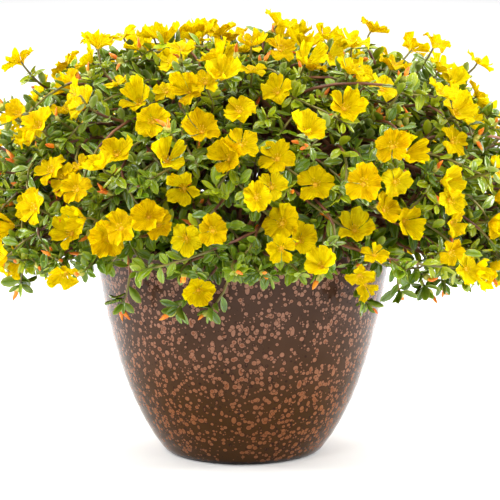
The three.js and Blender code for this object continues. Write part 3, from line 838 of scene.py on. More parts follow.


# margin is the colour of the painted highlight along the margins and the midrib
def leafFinish(name, deep, pale, margin, paintedSheen, roughness):
    sockets = {"Roughness": roughness, "Specular IOR Level": leafSkin["shine"]}
    finish, tree, shader, place = newFinish(name, sockets)
    across = attributeOf(tree, "rim")["Fac"]
    # painted highlight: the margins and the midrib are lightened as if catching the light
    rim = calc(tree, "POWER", across, leafSkin["edgeHighlightPower"])
    # painted sheen: pale patches of highlight on the swollen halves of the blade
    paintedSheenShare = times(tree, stepUp(tree, noiseOf(tree, place, leafSkin["paintedSheen"]), *leafSkin["paintedSheenSpan"]), paintedSheen)
    paintedSheenShare = times(tree, paintedSheenShare, stepUp(tree, across, *leafSkin["paintedSheenAcross"]))
    colour = mixColour(tree, driftShare(tree, place, leafSkin["drift"]), deep, pale)
    colour = mixColour(tree, paintedSheenShare, colour, leafSkin["paintedSheenTone"])
    colour = mixColour(tree, times(tree, rim, leafSkin["edgeHighlightShare"]), colour, margin)
    feed(tree, colour, shader.inputs["Base Color"])
    bumpOf(tree, shader, noiseOf(tree, place, leafSkin["grain"]), *leafSkin["bump"])
    return finish


# petal skin: fine veins run from the throat to the edge, and light shines through
petalSkin = {
    "sockets": {
        "Roughness": 0.6,
        "Specular IOR Level": 0.02,
        "Subsurface Weight": 0.6,
        "Subsurface Radius": (1.0, 0.75, 0.05),
        "Subsurface Scale": 0.0025,
    },
    "veins": (1.8, 9, 1),
    "drift": 120,
    "veinShare": 0.5,
    "span": (0.34, 0.60),
    "crumple": 320,
    "crumpleShare": 0.8,
    "bump": (0.9, 0.0016),
}


def petalFinish(name, deep, pale):
    finish, tree, shader, place = newFinish(name, petalSkin["sockets"])
    grain = attributeOf(tree, "grain")["Vector"]
    stretch = addNode(tree, "ShaderNodeMapping", {"Vector": grain, "Scale": petalSkin["veins"]})
    veins = noiseOf(tree, stretch.outputs[0], 1.0, 3.0)
    drift = times(tree, noiseOf(tree, place, petalSkin["drift"]), 1 - petalSkin["veinShare"])
    share = stepUp(tree, calc(tree, "MULTIPLY_ADD", veins, petalSkin["veinShare"], drift), *petalSkin["span"])
    feed(tree, mixColour(tree, share, deep, pale), shader.inputs["Base Color"])
    crumple = noiseOf(tree, place, petalSkin["crumple"])
    relief = calc(tree, "MULTIPLY_ADD", crumple, petalSkin["crumpleShare"], veins)
    bumpOf(tree, shader, relief, *petalSkin["bump"])
    return finish


leafTones = {  # deep tone, pale tone, painted highlight of the margins and the midrib, share of painted sheen, roughness
    "dark": (shade(60, 92, 0), shade(92, 126, 0), shade(172, 186, 70), 0.14, 0.14),
    "mid": (shade(94, 124, 0), shade(130, 156, 0), shade(190, 196, 76), 0.14, 0.17),
    # painted sheen: a mid green almost covered by the painted highlight
    "silver": (shade(92, 124, 10), shade(134, 160, 36), shade(206, 214, 140), 0.95, 0.14),
    "young": (shade(132, 152, 0), shade(166, 182, 0), shade(204, 206, 60), 0.10, 0.22),
}
leafFinishes = {tint: leafFinish("leaf_" + tint, *tones) for tint, tones in leafTones.items()}
petalTones = {  # deep tone, pale tone
    "lemon": (shade(196, 158, 0), shade(232, 200, 8)),
    "gold": (shade(189, 149, 0), shade(226, 189, 0)),
    "deep": (shade(180, 136, 0), shade(220, 177, 0)),
    "throat": (shade(214, 166, 0), shade(230, 186, 0)),
}
petalFinishes = {tint: petalFinish("petal_" + tint, *tones) for tint, tones in petalTones.items()}
livingTones = {  # deep tone, pale tone, roughness, scale of the drift and of the grain, depth of the grain
    "stamen": (shade(230, 172, 0), shade(246, 206, 20), 0.6, 500, 1200, 0.0002),
    "bud_base": (shade(150, 158, 40), shade(206, 196, 92), 0.45, 240, 900, 0.0002),
    "bud_tip": (shade(232, 106, 2), shade(250, 152, 22), 0.45, 200, 900, 0.0003),
    "stem_brown": (shade(90, 47, 32), shade(146, 94, 60), 0.45, 60, 600, 0.0004),
    "stem_green": (shade(92, 88, 28), shade(134, 122, 46), 0.42, 60, 600, 0.0003),
    "potting_mix": (shade(34, 25, 18), shade(66, 50, 36), 0.95, 180, 420, 0.002),
}
livingFinishes = {name: livingFinish(name, *tones) for name, tones in livingTones.items()}
print("finishes: foliage, blossom, stems, soil")


# the glaze: brown glass with rust spots of several sizes, some run together, some with a darker heart
glaze = {
    "lower": (shade(48, 28, 2), shade(68, 40, 9)),  # two tones of the ground near the foot
    "upper": (shade(56, 37, 25), shade(76, 53, 41)),  # and near the rim, greyed by a painted reflection of the bright room
    "lowerSpot": (shade(116, 66, 31), shade(146, 91, 54)),  # two tones of the spots near the foot
    "upperSpot": (shade(136, 92, 69), shade(168, 126, 105)),  # and near the rim, greyed by a painted reflection of the bright room
    "heart": shade(112, 60, 32),
    "outline": shade(34, 19, 9),
    # painted shade: a dark band round the foot, where the pot meets the floor
    "edge": shade(30, 18, 10),
    "layers": (  # cells to the metre, squash of the height, share of cells taken, radius in cells
        {"scale": 310, "upright": 1.0, "shift": 2.1, "share": 0.10, "radius": (0.22, 0.38)},
        {"scale": 150, "upright": 0.45, "shift": 1.3, "share": 0.30, "radius": (0.24, 0.40)},
        {"scale": 140, "upright": 1.0, "shift": 0.7, "share": 0.66, "radius": (0.25, 0.39)},
        {"scale": 158, "upright": 1.0, "shift": 0.0, "share": 0.80, "radius": (0.28, 0.43)},
    ),
    "patch": 15,  # patches with more and fewer spots, to the metre
    "patchSpan": (0.28, 0.64),
    "least": 0.30,  # share of cells taken where spots are fewest
    "ragged": 0.0008,
    "raggedScale": 420,
    "drift": 30,
    "driftHeight": 0.04,
    "riseSpan": (0.06, 0.20),  # heights between the tones of the foot and of the rim
    "fleck": 260,
    "plain": 0.45,  # share of the spots that have no heart
    "outlineSpan": (-0.08, -0.02),  # distances in from a spot's edge, in cells
    "spotSpan": (-0.02, 0.07),
    "heartSpan": (0.14, 0.22),
    "outlineShare": 0.85,
    "spotShare": 0.86,
    "heartShare": 0.8,
    "footShadeSpan": (0.001, 0.006),
    "roughness": 0.10,
    "spotRoughness": 0.10,
    "density": 1.19,  # optical density of the glass
    "wave": 55,
    "spotRelief": 0.35,
    "bump": (0.35, 0.0006),
}


def glazeFinish():
    sockets = {"Roughness": glaze["roughness"], "IOR": glaze["density"]}
    finish, tree, shader, place = newFinish("speckled_glaze", sockets)
    ragged = addNode(tree, "ShaderNodeTexNoise", {"Vector": place, "Scale": glaze["raggedScale"]})
    raggedBy = {0: ragged.outputs["Color"], 1: (glaze["ragged"],) * 3, 2: place}
    shift = addNode(tree, "ShaderNodeVectorMath", raggedBy, operation="MULTIPLY_ADD")
    patch = stepUp(tree, noiseOf(tree, place, glaze["patch"], 3.0), *glaze["patchSpan"])
    height = addNode(tree, "ShaderNodeSeparateXYZ", {0: place}).outputs[2]
    drift = noiseOf(tree, place, glaze["drift"], 4.0)
    # towards the rim the glaze's tones take on a painted reflection of the bright room
    rise = stepUp(tree, calc(tree, "MULTIPLY_ADD", drift, glaze["driftHeight"], height), *glaze["riseSpan"])

    def tonesUp(share, low, high):  # from the tones near the foot to those near the rim
        below, above = (mixColour(tree, share, *glaze[label]) for label in (low, high))
        return mixColour(tree, rise, below, above)

    rust = tonesUp(noiseOf(tree, place, glaze["fleck"]), "lowerSpot", "upperSpot")
    colour = tonesUp(drift, "lower", "upper")
    spots = 0.0
    for layer in glaze["layers"]:  # each layer draws dark outlines, then spots, then their hearts
        squashed = {
            "Vector": shift.outputs[0],
            "Scale": (1, 1, layer["upright"]),
            "Location": (layer["shift"],) * 3,
        }
        squash = addNode(tree, "ShaderNodeMapping", squashed)
        cells = addNode(tree, "ShaderNodeTexVoronoi", {"Vector": squash.outputs[0], "Scale": layer["scale"]})
        chance = addNode(tree, "ShaderNodeSeparateColor", {0: cells.outputs["Color"]}).outputs
        low, high = layer["radius"]
        radius = calc(tree, "MULTIPLY_ADD", chance[0], high - low, low)
        filled = calc(tree, "MULTIPLY_ADD", patch, layer["share"], glaze["least"])
        taken = calc(tree, "LESS_THAN", chance[1], filled)
        inside = calc(tree, "SUBTRACT", radius, cells.outputs["Distance"])
        outline = times(tree, stepUp(tree, inside, *glaze["outlineSpan"]), taken)
        spot = times(tree, stepUp(tree, inside, *glaze["spotSpan"]), taken)
        ringed = times(tree, taken, calc(tree, "GREATER_THAN", chance[2], glaze["plain"]))
        heart = times(tree, stepUp(tree, inside, *glaze["heartSpan"]), ringed)
        for share, strength, tone in (
            (outline, glaze["outlineShare"], glaze["outline"]),
            (spot, glaze["spotShare"], rust),
            (heart, glaze["heartShare"], glaze["heart"]),
        ):
            colour = mixColour(tree, times(tree, share, strength), colour, tone)
        spots = calc(tree, "MAXIMUM", spots, spot)
    # painted shade darkens the lowest few millimetres of the foot
    colour = mixColour(tree, stepUp(tree, height, *glaze["footShadeSpan"]), glaze["edge"], colour)
    feed(tree, colour, shader.inputs["Base Color"])
    gloss = calc(tree, "MULTIPLY_ADD", spots, glaze["spotRoughness"], glaze["roughness"])
    feed(tree, gloss, shader.inputs["Roughness"])
    relief = calc(tree, "MULTIPLY_ADD", spots, glaze["spotRelief"], noiseOf(tree, place, glaze["wave"]))
    bumpOf(tree, shader, relief, *glaze["bump"])
    return finish


potFinish = glazeFinish()
print("finishes: glaze")


# geometry trees with named inputs, each of which ends as plain geometry with its finish
def newTree(name, **sockets):
    tree = bpy.data.node_groups.new(name, "GeometryNodeTree")
    tree.interface.new_socket("Geometry", in_out="INPUT", socket_type="NodeSocketGeometry")
    for label, kind in sockets.items():
        tree.interface.new_socket(label, in_out="INPUT", socket_type="NodeSocket" + kind)
    tree.interface.new_socket("Geometry", in_out="OUTPUT", socket_type="NodeSocketGeometry")
    return tree, tree.nodes.new("NodeGroupInput").outputs


def closedTree(tree, given, geometry):
    real = addNode(tree, "GeometryNodeRealizeInstances", {0: geometry})
    dressed = addNode(tree, "GeometryNodeSetMaterial", {0: real.outputs[0], "Material": given["Finish"]})
    addNode(tree, "NodeGroupOutput", {0: dressed.outputs[0]})
    return tree


def namedAttribute(tree, name, kind):
    node = addNode(tree, "GeometryNodeInputNamedAttribute", {"Name": name}, data_type=kind)
    return openSockets(node.outputs)[0]


def randomValue(tree, seed, low, high):
    node = addNode(tree, "FunctionNodeRandomValue", {0: low, 1: high, "Seed": seed}, data_type="FLOAT")
    return openSockets(node.outputs)[0]


# deals shapes of a collection out to points, each with its own turn, size and pick
def dealTree():
    tree, given = newTree(
        "dealShapes", Shapes="Collection", Finish="Material", Size="Float", Uneven="Float", Seed="Int"
    )
    shelved = {"Collection": given["Shapes"], "Separate Children": True, "Reset Children": True}
    shapes = addNode(tree, "GeometryNodeCollectionInfo", shelved)
    low = calc(tree, "SUBTRACT", 1.0, given["Uneven"])
    high = calc(tree, "ADD", 1.0, given["Uneven"])
    size = times(tree, namedAttribute(tree, "size", "FLOAT"), given["Size"])
    dealt = addNode(tree, "GeometryNodeInstanceOnPoints", {
        0: given["Geometry"],
        "Instance": shapes.outputs[0],
        "Pick Instance": True,
        "Instance Index": namedAttribute(tree, "shape", "INT"),
        "Rotation": namedAttribute(tree, "turn", "FLOAT_VECTOR"),
        "Scale": times(tree, size, randomValue(tree, given["Seed"], low, high)),
    })
    return closedTree(tree, given, dealt.outputs[0])


# tapering stalks round lines of edges, with a knobbly skin
def stalkTree():
    tree, given = newTree(
        "growStalks", Sides="Int", Girth="Float", Relief="Float", Grain="Float", Finish="Material"
    )
    lines = addNode(tree, "GeometryNodeMeshToCurve", {0: given["Geometry"]})
    ring = addNode(tree, "GeometryNodeCurvePrimitiveCircle", {"Resolution": given["Sides"], "Radius": 1.0})
    girth = times(tree, namedAttribute(tree, "girth", "FLOAT"), given["Girth"])
    skinned = {0: lines.outputs[0], "Profile Curve": ring.outputs[0], "Scale": girth, "Fill Caps": True}
    skin = addNode(tree, "GeometryNodeCurveToMesh", skinned)
    place = tree.nodes.new("GeometryNodeInputPosition").outputs[0]
    knobs = addNode(tree, "ShaderNodeTexNoise", {"Vector": place, "Scale": given["Grain"]})
    lift = times(tree, calc(tree, "SUBTRACT", knobs.outputs["Fac"], 0.5), given["Relief"])
    outward = tree.nodes.new("GeometryNodeInputNormal").outputs[0]
    offset = addNode(tree, "ShaderNodeVectorMath", {0: outward, "Scale": lift}, operation="SCALE")
    skin = addNode(tree, "GeometryNodeSetPosition", {0: skin.outputs[0], "Offset": offset.outputs[0]})
    skin = addNode(tree, "GeometryNodeSetShadeSmooth", {0: skin.outputs[0]})
    return closedTree(tree, given, skin.outputs[0])


# loose crumbs over a surface
def crumbTree():
    tree, given = newTree(
        "strewCrumbs", Density="Float", Smallest="Float", Largest="Float", Seed="Int", Finish="Material"
    )
    strewing = {"Mesh": given["Geometry"], "Density": given["Density"], "Seed": given["Seed"]}
    points = addNode(tree, "GeometryNodeDistributePointsOnFaces", strewing)
    crumb = addNode(tree, "GeometryNodeMeshIcoSphere", {"Radius": 1.0, "Subdivisions": 1})
    turn = addNode(tree, "FunctionNodeRandomValue", {1: (anyTurn,) * 3}, data_type="FLOAT_VECTOR")
    strewn = addNode(tree, "GeometryNodeInstanceOnPoints", {
        0: points.outputs["Points"],
        "Instance": crumb.outputs[0],
        "Rotation": openSockets(turn.outputs)[0],
        "Scale": randomValue(tree, given["Seed"], given["Smallest"], given["Largest"]),
    })
    both = addNode(tree, "GeometryNodeJoinGeometry", {0: strewn.outputs[0]})
    feed(tree, given["Geometry"], both.inputs[0])
    return closedTree(tree, given, both.outputs[0])


def newPiece(name, mesh):
    piece = bpy.data.objects.new(name, mesh)
    bpy.context.scene.collection.objects.link(piece)
    return piece


def grown(name, seedMesh, tree, settings):  # runs a tree on a mesh and keeps the result as a plain mesh
    host = newPiece(name + "_seed", seedMesh)
    modifier = host.modifiers.new("grow", "NODES")
    modifier.node_group = tree
    for item in tree.interface.items_tree:
        if item.in_out == "INPUT" and item.name in settings:
            modifier[item.identifier] = settings[item.name]
    evaluated = host.evaluated_get(bpy.context.evaluated_depsgraph_get())
    mesh = bpy.data.meshes.new_from_object(evaluated)
    mesh.name = name
    host.modifiers.remove(modifier)
    bpy.data.objects.remove(host)
    return newPiece(name, mesh)


def finishedPiece(piece, slotName, *nodes):
    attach(piece, "root")
    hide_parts(*nodes)


def nodesOf(prefix):
    return [name for name in nodeNames if name.startswith(prefix)]


def meshOf(name, points, faces, sharp=()):
    mesh = bpy.data.meshes.new(name)
    mesh.from_pydata([tuple(p) for p in points], [], faces)
    body = bmesh.new()
    body.from_mesh(mesh)
    bmesh.ops.recalc_face_normals(body, faces=body.faces)
    for face in body.faces:
        face.smooth = True
    hard = {frozenset(pair) for pair in sharp}
    for edge in body.edges:
        if frozenset(corner.index for corner in edge.verts) in hard:
            edge.smooth = False
    body.to_mesh(mesh)
    body.free()
    return mesh


def turnedMesh(name, profile, sides):  # (radius, height) points from one end on the axis to the other
    points, faces, rows = [], [], []
    for radius, height in profile:
        if radius < 1e-9:
            rows.append([len(points)])
            points.append((0, 0, height))
            continue
        rows.append(list(range(len(points), len(points) + sides)))
        for i in range(sides):
            angle = 2 * math.pi * i / sides
            points.append((radius * math.cos(angle), radius * math.sin(angle), height))
    for low, high in zip(rows, rows[1:]):
        for i in range(sides):
            k = (i + 1) % sides
            if len(low) == 1:
                faces.append((low[0], high[k], high[i]))
            elif len(high) == 1:
                faces.append((low[i], low[k], high[0]))
            else:
                faces.append((low[i], low[k], high[k], high[i]))
    return meshOf(name, points, faces)


def shelf(name, meshes):  # a collection of shapes to deal from, kept out of the scene
    collection = bpy.data.collections.new(name)
    for i, mesh in enumerate(meshes):
        collection.objects.link(bpy.data.objects.new(f"{name}_{i:02d}", mesh))
    return collection


def clearShelf(collection):
    for shape in list(collection.objects):
        bpy.data.objects.remove(shape)
    bpy.data.collections.remove(collection)


def placeMesh(name, places):  # points with a turn, a size and a pick
    mesh = bpy.data.meshes.new(name)
    mesh.from_pydata([tuple(place[0]) for place in places], [], [])
    for label, kind, field, column in (
        ("turn", "FLOAT_VECTOR", "vector", 1),
        ("size", "FLOAT", "value", 2),
        ("shape", "INT", "value", 3),
    ):
        attribute = mesh.attributes.new(label, kind, "POINT")
        attribute.data.foreach_set(field, np.array([place[column] for place in places]).ravel())
    return mesh


def lineMesh(name, lines):  # lines of edges with a girth at each point
    points, edges, girths = [], [], []
    for line, radii in lines:
        first = len(points)
        points.extend(map(tuple, line))
        edges.extend((first + i, first + i + 1) for i in range(len(line) - 1))
        girths.extend(radii)
    mesh = bpy.data.meshes.new(name)
    mesh.from_pydata(points, edges, [])
    mesh.attributes.new("girth", "FLOAT", "POINT").data.foreach_set("value", girths)
    return mesh


deal = dealTree()
stalks = stalkTree()
crumbs = crumbTree()
print("trees:", deal.name, stalks.name, crumbs.name)
masses = nodesOf("foliage_")


def dealtPiece(name, places, shapes, finish, nodes=masses, uneven=0.0, seed=1):
    settings = {"Shapes": shapes, "Finish": finish, "Size": 1.0, "Uneven": uneven, "Seed": seed}
    piece = grown(name, placeMesh(name + "_places", places), deal, settings)
    finishedPiece(piece, "foliage", *nodes)


def stalkPiece(name, lines, rule, skin, slotName, nodes):
    settings = {
        "Sides": rule["sides"],
        "Girth": 1.0,
        "Relief": rule["relief"],
        "Grain": rule["grain"],
        "Finish": livingFinishes[skin],
    }
    piece = grown(name, lineMesh(name + "_lines", lines), stalks, settings)
    finishedPiece(piece, slotName, *nodes)


# pot: outer wall, rounded lip, inner wall, floor
def makePot():
    wall = bezier(potCurve, np.linspace(*pot["wallSpan"], pot["wallSteps"]))
    short, long = pot["throwingWaves"]
    outside = []
    for i, (radius, _, height) in enumerate(wall):
        outside.append((radius + pot["throwing"] * math.sin(i * short) * math.sin(i * long), height))
    base = [(0, 0)] + [(pot["baseRadius"] - inset, height) for inset, height in pot["baseEdge"]]
    lip = []
    half = pot["wall"] / 2
    for i in range(pot["lipSteps"] + 1):
        angle = math.pi * i / pot["lipSteps"]
        radius = pot["rimRadius"] - half + half * math.cos(angle)
        lip.append((radius, pot["height"] - pot["lip"] * (1 - math.sin(angle))))
    inside = []
    for radius, height in outside[::-pot["insideSkip"]]:
        if height > pot["insideFrom"]:
            inside.append((radius - pot["wall"], height))
    floor = [(inside[-1][0] - pot["floorInset"], pot["floor"]), (0, pot["floor"])]
    mesh = turnedMesh("pot_glazed", base + outside + lip + inside[1:] + floor, pot["sides"])
    mesh.materials.append(potFinish)
    finishedPiece(newPiece("pot_glazed", mesh), "glaze", "pot")


# soil: a low mound with lumps, and crumbs strewn over it
soil = {
    "bottom": 0.120,
    "clear": 0.0008,
    "wallSamples": 200,
    "sides": 96,
    "rings": 26,
    "lump": 0.0022,
    "waves": 14,
    "tightest": 130,  # radians of a wave to the metre
    "edgeRoom": 0.001,
    "density": 14000.0,
    "smallest": 0.0009,
    "largest": 0.0030,
    "seed": 11,
}


def makeSoil():
    wall = bezier(potCurve, np.linspace(0, 1, soil["wallSamples"]))
    edgeTop = pot["soilTop"] - pot["soilMound"]

    def radiusAt(height):
        return float(np.interp(height, wall[:, 2], wall[:, 0])) - pot["wall"] - soil["clear"]

    edge = radiusAt(edgeTop)
    profile = [(0, soil["bottom"]), (radiusAt(soil["bottom"]), soil["bottom"])]
    for i in range(soil["rings"]):
        share = 1 - i / soil["rings"]
        profile.append((edge * share, pot["soilTop"] - pot["soilMound"] * share**2))
    profile.append((0, pot["soilTop"]))
    mesh = turnedMesh("soil_seed", profile, soil["sides"])
    chance = seededStream(soil["seed"])
    widest = 2 * soil["tightest"]
    waves = []
    for _ in range(soil["waves"]):
        across, along = (chance() * widest - soil["tightest"] for _ in range(2))
        waves.append((across, along, chance() * anyTurn))
    for vertex in mesh.vertices:
        if vertex.co.z > edgeTop - soil["edgeRoom"]:
            swell = sum(math.sin(a * vertex.co.x + b * vertex.co.y + c) for a, b, c in waves) / soil["waves"]
            vertex.co.z += soil["lump"] * swell
    settings = {label.capitalize(): soil[label] for label in ("density", "smallest", "largest", "seed")}
    settings["Finish"] = livingFinishes["potting_mix"]
    finishedPiece(grown("soil_mix", mesh, crumbs, settings), "soil", "soil")


# foot: the flare at the soil and the knot that the boughs leave, with ridges up it
foot = {
    "flareRadius": 0.027,
    "waistRadius": 0.0215,
    "waistHeight": 0.0028,
    "headFrom": -0.40,  # angle where the round head starts, below its middle
    "headSteps": 12,
    "sides": 48,
    "ridges": 7,
    "ridge": 0.0012,
    "ridgeTwist": 60,
    "smoothTop": 0.004,  # radius at the top, and height at the soil, that the ridges leave out
    "smoothFoot": 0.0005,
}


def makeFoot():
    ground = pot["soilTop"] + boughs["seam"]
    radius, centre = boughs["headRadius"], boughs["headCentre"]
    profile = [(0, ground), (foot["flareRadius"], ground)]
    profile.append((foot["waistRadius"], ground + foot["waistHeight"]))
    for i in range(foot["headSteps"]):
        angle = foot["headFrom"] + (math.pi / 2 - foot["headFrom"]) * i / foot["headSteps"]
        profile.append((radius * math.cos(angle), centre + radius * math.sin(angle)))
    profile.append((0, centre + radius))
    mesh = turnedMesh("rooted_foot_bark", profile, foot["sides"])
    for vertex in mesh.vertices:
        out = math.hypot(vertex.co.x, vertex.co.y)
        if out > foot["smoothTop"] and vertex.co.z > ground + foot["smoothFoot"]:
            angle = math.atan2(vertex.co.y, vertex.co.x)
            wave = math.sin(foot["ridges"] * angle + foot["ridgeTwist"] * vertex.co.z)
            ridge = foot["ridge"] * wave - foot["ridge"]
            vertex.co.x += ridge * math.cos(angle)
            vertex.co.y += ridge * math.sin(angle)
    mesh.materials.append(livingFinishes["stem_brown"])
    finishedPiece(newPiece("rooted_foot_bark", mesh), "stem", "rooted_foot")


makePot()
makeSoil()
makeFoot()
print("pieces: pot, soil, foot")


# boughs and shoots as knobbly stalks
stalkPiece("boughs_bark", boughLines, boughs, "stem_brown", "stem", nodesOf("stem_"))
stalkPiece("shoots_brown", brownLines, shootRule, "stem_brown", "foliage", masses)
stalkPiece("shoots_green", greenLines, shootRule, "stem_green", "foliage", masses)
print("pieces: boughs and shoots")


# leaf: fleshy and spoon-shaped, two swollen halves with a groove along the middle
leaf = {
    "shapes": (  # bend, fold and breadth of each shape
        (0.16, 0.26, 1.00),
        (-0.14, 0.36, 0.92),
        (0.04, 0.18, 1.12),
        (0.26, 0.42, 0.86),
        (-0.26, 0.24, 1.00),
    ),
    "outline": ((0.14, 0.36), (0.36, 0.86), (0.60, 1.00), (0.86, 0.66)),  # place along, share of the width
    "swell": 0.20,
    "swellAt": 0.55,
    "rims": (1.0, 0.0, 0.8, 0.0, 1.0, 0.6),  # how near the margin or the midrib, round a section
    "uneven": 0.08,
}


def leafMesh(name, bend, fold, breadth):
    length, half, thick = leafRule["length"], leafRule["width"] / 2 * breadth, leafRule["thick"]
    sides, sections, swellAt = len(leaf["rims"]), len(leaf["outline"]), leaf["swellAt"]
    points, rims, faces, sharp = [(0, 0, 0)], [0.5], [], []
    for share, width in leaf["outline"]:
        x, lift, y = length * share, bend * length * share**2, half * width
        blade = lift + fold * y * swellAt + leaf["swell"] * y
        points += [(x, y, lift + fold * y), (x, y * swellAt, blade), (x, 0, lift)]
        points += [(x, -y * swellAt, blade), (x, -y, lift + fold * y), (x, 0, lift - thick)]
        rims += leaf["rims"]
    last = len(points)
    points.append((length, 0, bend * length))
    rims.append(1.0)
    for k in range(sides):
        n = (k + 1) % sides
        faces.append((0, 1 + k, 1 + n))
        for row in range(sections - 1):
            a, b = 1 + sides * row, 1 + sides * (row + 1)
            faces.append((a + k, b + k, b + n, a + n))
        faces.append((last - sides + k, last, last - sides + n))
    for k in (0, 2, 4):  # both margins and the midrib
        rim = [0] + [1 + sides * row + k for row in range(sections)] + [last]
        sharp += list(zip(rim, rim[1:]))
    mesh = meshOf(name, points, faces, sharp=sharp)
    mesh.attributes.new("rim", "FLOAT", "POINT").data.foreach_set("value", rims)
    return mesh


def makeLeaves():
    shapes = shelf("leaf", [leafMesh(f"leaf_{i}", *shape) for i, shape in enumerate(leaf["shapes"])])
    for seed, ((tint, group), places) in enumerate(sorted(leafPlaces.items())):
        rings = [ring for ring, part in ringGroups.items() if part == group]
        nodes = [name for ring in rings for name in nodesOf(f"foliage_{ring}_")]
        dealtPiece(f"leaves_{tint}_{group}", places, shapes, leafFinishes[tint], nodes, leaf["uneven"], seed)
    clearShelf(shapes)


makeLeaves()
print("pieces: leaves")


# flower: five notched petals in a ruffled cup, a deeper throat, and a tuft of stamens
flower = {
    "petals": 5,
    "petalLength": 0.0170,
    "petalHalfWidth": 0.0091,
    "thick": 0.0004,
    "throatTo": 0.22,
    "stations": (0.5, 0.78, 1.0),  # along a petal, past the throat
    "petalAcross": 9,
    "throatAcross": 4,
    "rootAt": 0.0012,
    "rootWidth": 0.12,
    "widestAt": 0.82,
    "rounding": 1.3,
    "notch": 0.07,
    "notchWidth": 0.26,
    "corner": 0.36,
    "shapes": (  # rise of the rim, breadth of the petals, ruffle, how far the ends bend back
        (0.0040, 1.00, 0.0018, 0.0010),
        (0.0065, 0.92, 0.0024, -0.0020),
        (0.0085, 1.04, 0.0022, -0.0010),
        (0.0050, 0.80, 0.0018, 0.0000),
        (0.0105, 0.96, 0.0026, -0.0040),
        (0.0075, 0.84, 0.0024, 0.0015),
        (0.0135, 1.04, 0.0020, 0.0010),
        (0.0060, 1.06, 0.0028, -0.0030),
        (0.0120, 0.86, 0.0024, -0.0050),
        (0.0170, 0.88, 0.0020, -0.0010),
        (0.0130, 0.74, 0.0028, 0.0020),
    ),
    "cups": (0.7, 0.6),  # least share, and what chance adds
    "lengths": (0.86, 0.24),
    "widths": (0.82, 0.32),
    "flares": 0.010,
    "turns": 0.32,
    "cupBend": 0.45,
    "frill": 0.055,
    "frillWaves": 8.8,
    "ruffleWaves": 4.4,
    "crease": 0.0011,
    "sideLift": 0.0018,
    "overlap": 0.12,
    "veinShift": 5,  # sets the veins of each petal apart
    "seed": 77,
}
stamen = {
    "count": 10,
    "length": 0.0052,
    "lengths": (0.75, 0.4),
    "lean": (0.15, 0.6),
    "rootRadius": 0.0011,
    "rootHeight": 0.0004,
    "girth": 0.00026,
    "sides": 3,
    "antherRadius": 0.00062,
    "antherReach": 0.0009,
    "boss": 0.0026,
    "bossTop": 0.7,  # rise and depth as shares of its radius
    "bossUnder": 0.4,
    "bossRim": 0.0002,
    "bossSides": 6,
}


def varied(span, draw):
    return span[0] + span[1] * draw()


def petalGrid(stations, across, manner):
    length, half = flower["petalLength"] * manner["length"], flower["petalHalfWidth"] * manner["width"]
    widest, narrow, bend = flower["widestAt"], flower["rootWidth"], flower["cupBend"]
    rows = []
    for u in stations:
        row = []
        for v in across:
            dent = math.exp(-((v / flower["notchWidth"]) ** 2))
            tip = 1 - flower["corner"] * v * v * u - flower["notch"] * u**5 * dent
            tip += flower["frill"] * u**6 * math.sin(flower["frillWaves"] * v + manner["phase"])
            x = flower["rootAt"] + length * u * tip
            swell = math.sin(min(u, widest) / widest * math.pi / 2) ** flower["rounding"]
            y = half * v * (narrow + (1 - narrow) * swell)
            z = manner["cup"] * ((1 + bend) * u - bend * u * u) + manner["flare"] * u**3
            z += flower["sideLift"] * v * v * u - flower["crease"] * (1 - abs(v)) * math.sin(math.pi * u)
            z += manner["ruffle"] * u**2.2 * math.sin(flower["ruffleWaves"] * v + manner["phase"])
            z += flower["overlap"] * y
            row.append((x, y, z))
        rows.append(row)
    return rows


def petalShell(rows, turn, points, faces, sharp):  # a closed thin shell over the grid
    down, count = len(rows), len(rows[0])
    first = len(points)
    c, s = math.cos(turn), math.sin(turn)
    for layer in (0, -flower["thick"]):
        for row in rows:
            points.extend((x * c - y * s, x * s + y * c, z + layer) for x, y, z in row)
    under = down * count
    for i in range(down - 1):
        for k in range(count - 1):
            a = first + i * count + k
            faces.append((a, a + count, a + count + 1, a + 1))
            faces.append((a + under, a + under + 1, a + under + count + 1, a + under + count))
    edge = [first + k for k in range(count)]
    edge += [first + i * count + count - 1 for i in range(1, down)]
    edge += [first + (down - 1) * count + k for k in range(count - 2, -1, -1)]
    edge += [first + i * count for i in range(down - 2, 0, -1)]
    for a, b in zip(edge, edge[1:] + edge[:1]):
        faces.append((a, b, b + under, a + under))
        sharp += [(a, b), (a + under, b + under)]


def grainOf(stations, across, petal):  # place on a petal, for the veins
    shift = flower["veinShift"] * petal
    return [(u, v + shift, 0) for _ in range(2) for u in stations for v in across]


def flowerMeshes(index, shape, draw):  # blades and throats of one flower, as two meshes that meet
    cup, breadth, ruffle, flare = shape
    throatTo = flower["throatTo"]
    parts = {
        "petals": (np.array((throatTo, *flower["stations"])), np.linspace(-1, 1, flower["petalAcross"])),
        "throat": (np.array((0.0, throatTo)), np.linspace(-1, 1, flower["throatAcross"])),
    }
    shells = {label: ([], [], []) for label in parts}
    grains = {label: [] for label in parts}
    turn = draw() * anyTurn
    for petal in range(flower["petals"]):
        manner = {
            "cup": cup * varied(flower["cups"], draw),
            "length": varied(flower["lengths"], draw),
            "width": breadth * varied(flower["widths"], draw),
            "phase": draw() * anyTurn,
            "ruffle": ruffle,
            "flare": flare + (draw() - 0.5) * flower["flares"],
        }
        around = turn + petal * 2 * math.pi / flower["petals"] + (draw() - 0.5) * flower["turns"]
        for label, (stations, across) in parts.items():
            petalShell(petalGrid(stations, across, manner), around, *shells[label])
            grains[label] += grainOf(stations, across, petal)
    meshes = []
    for label, (points, faces, sharp) in shells.items():
        mesh = meshOf(f"{label}_{index}", points, faces, sharp=sharp)
        grain = mesh.attributes.new("grain", "FLOAT_VECTOR", "POINT")
        grain.data.foreach_set("vector", np.array(grains[label]).ravel())
        meshes.append(mesh)
    return meshes


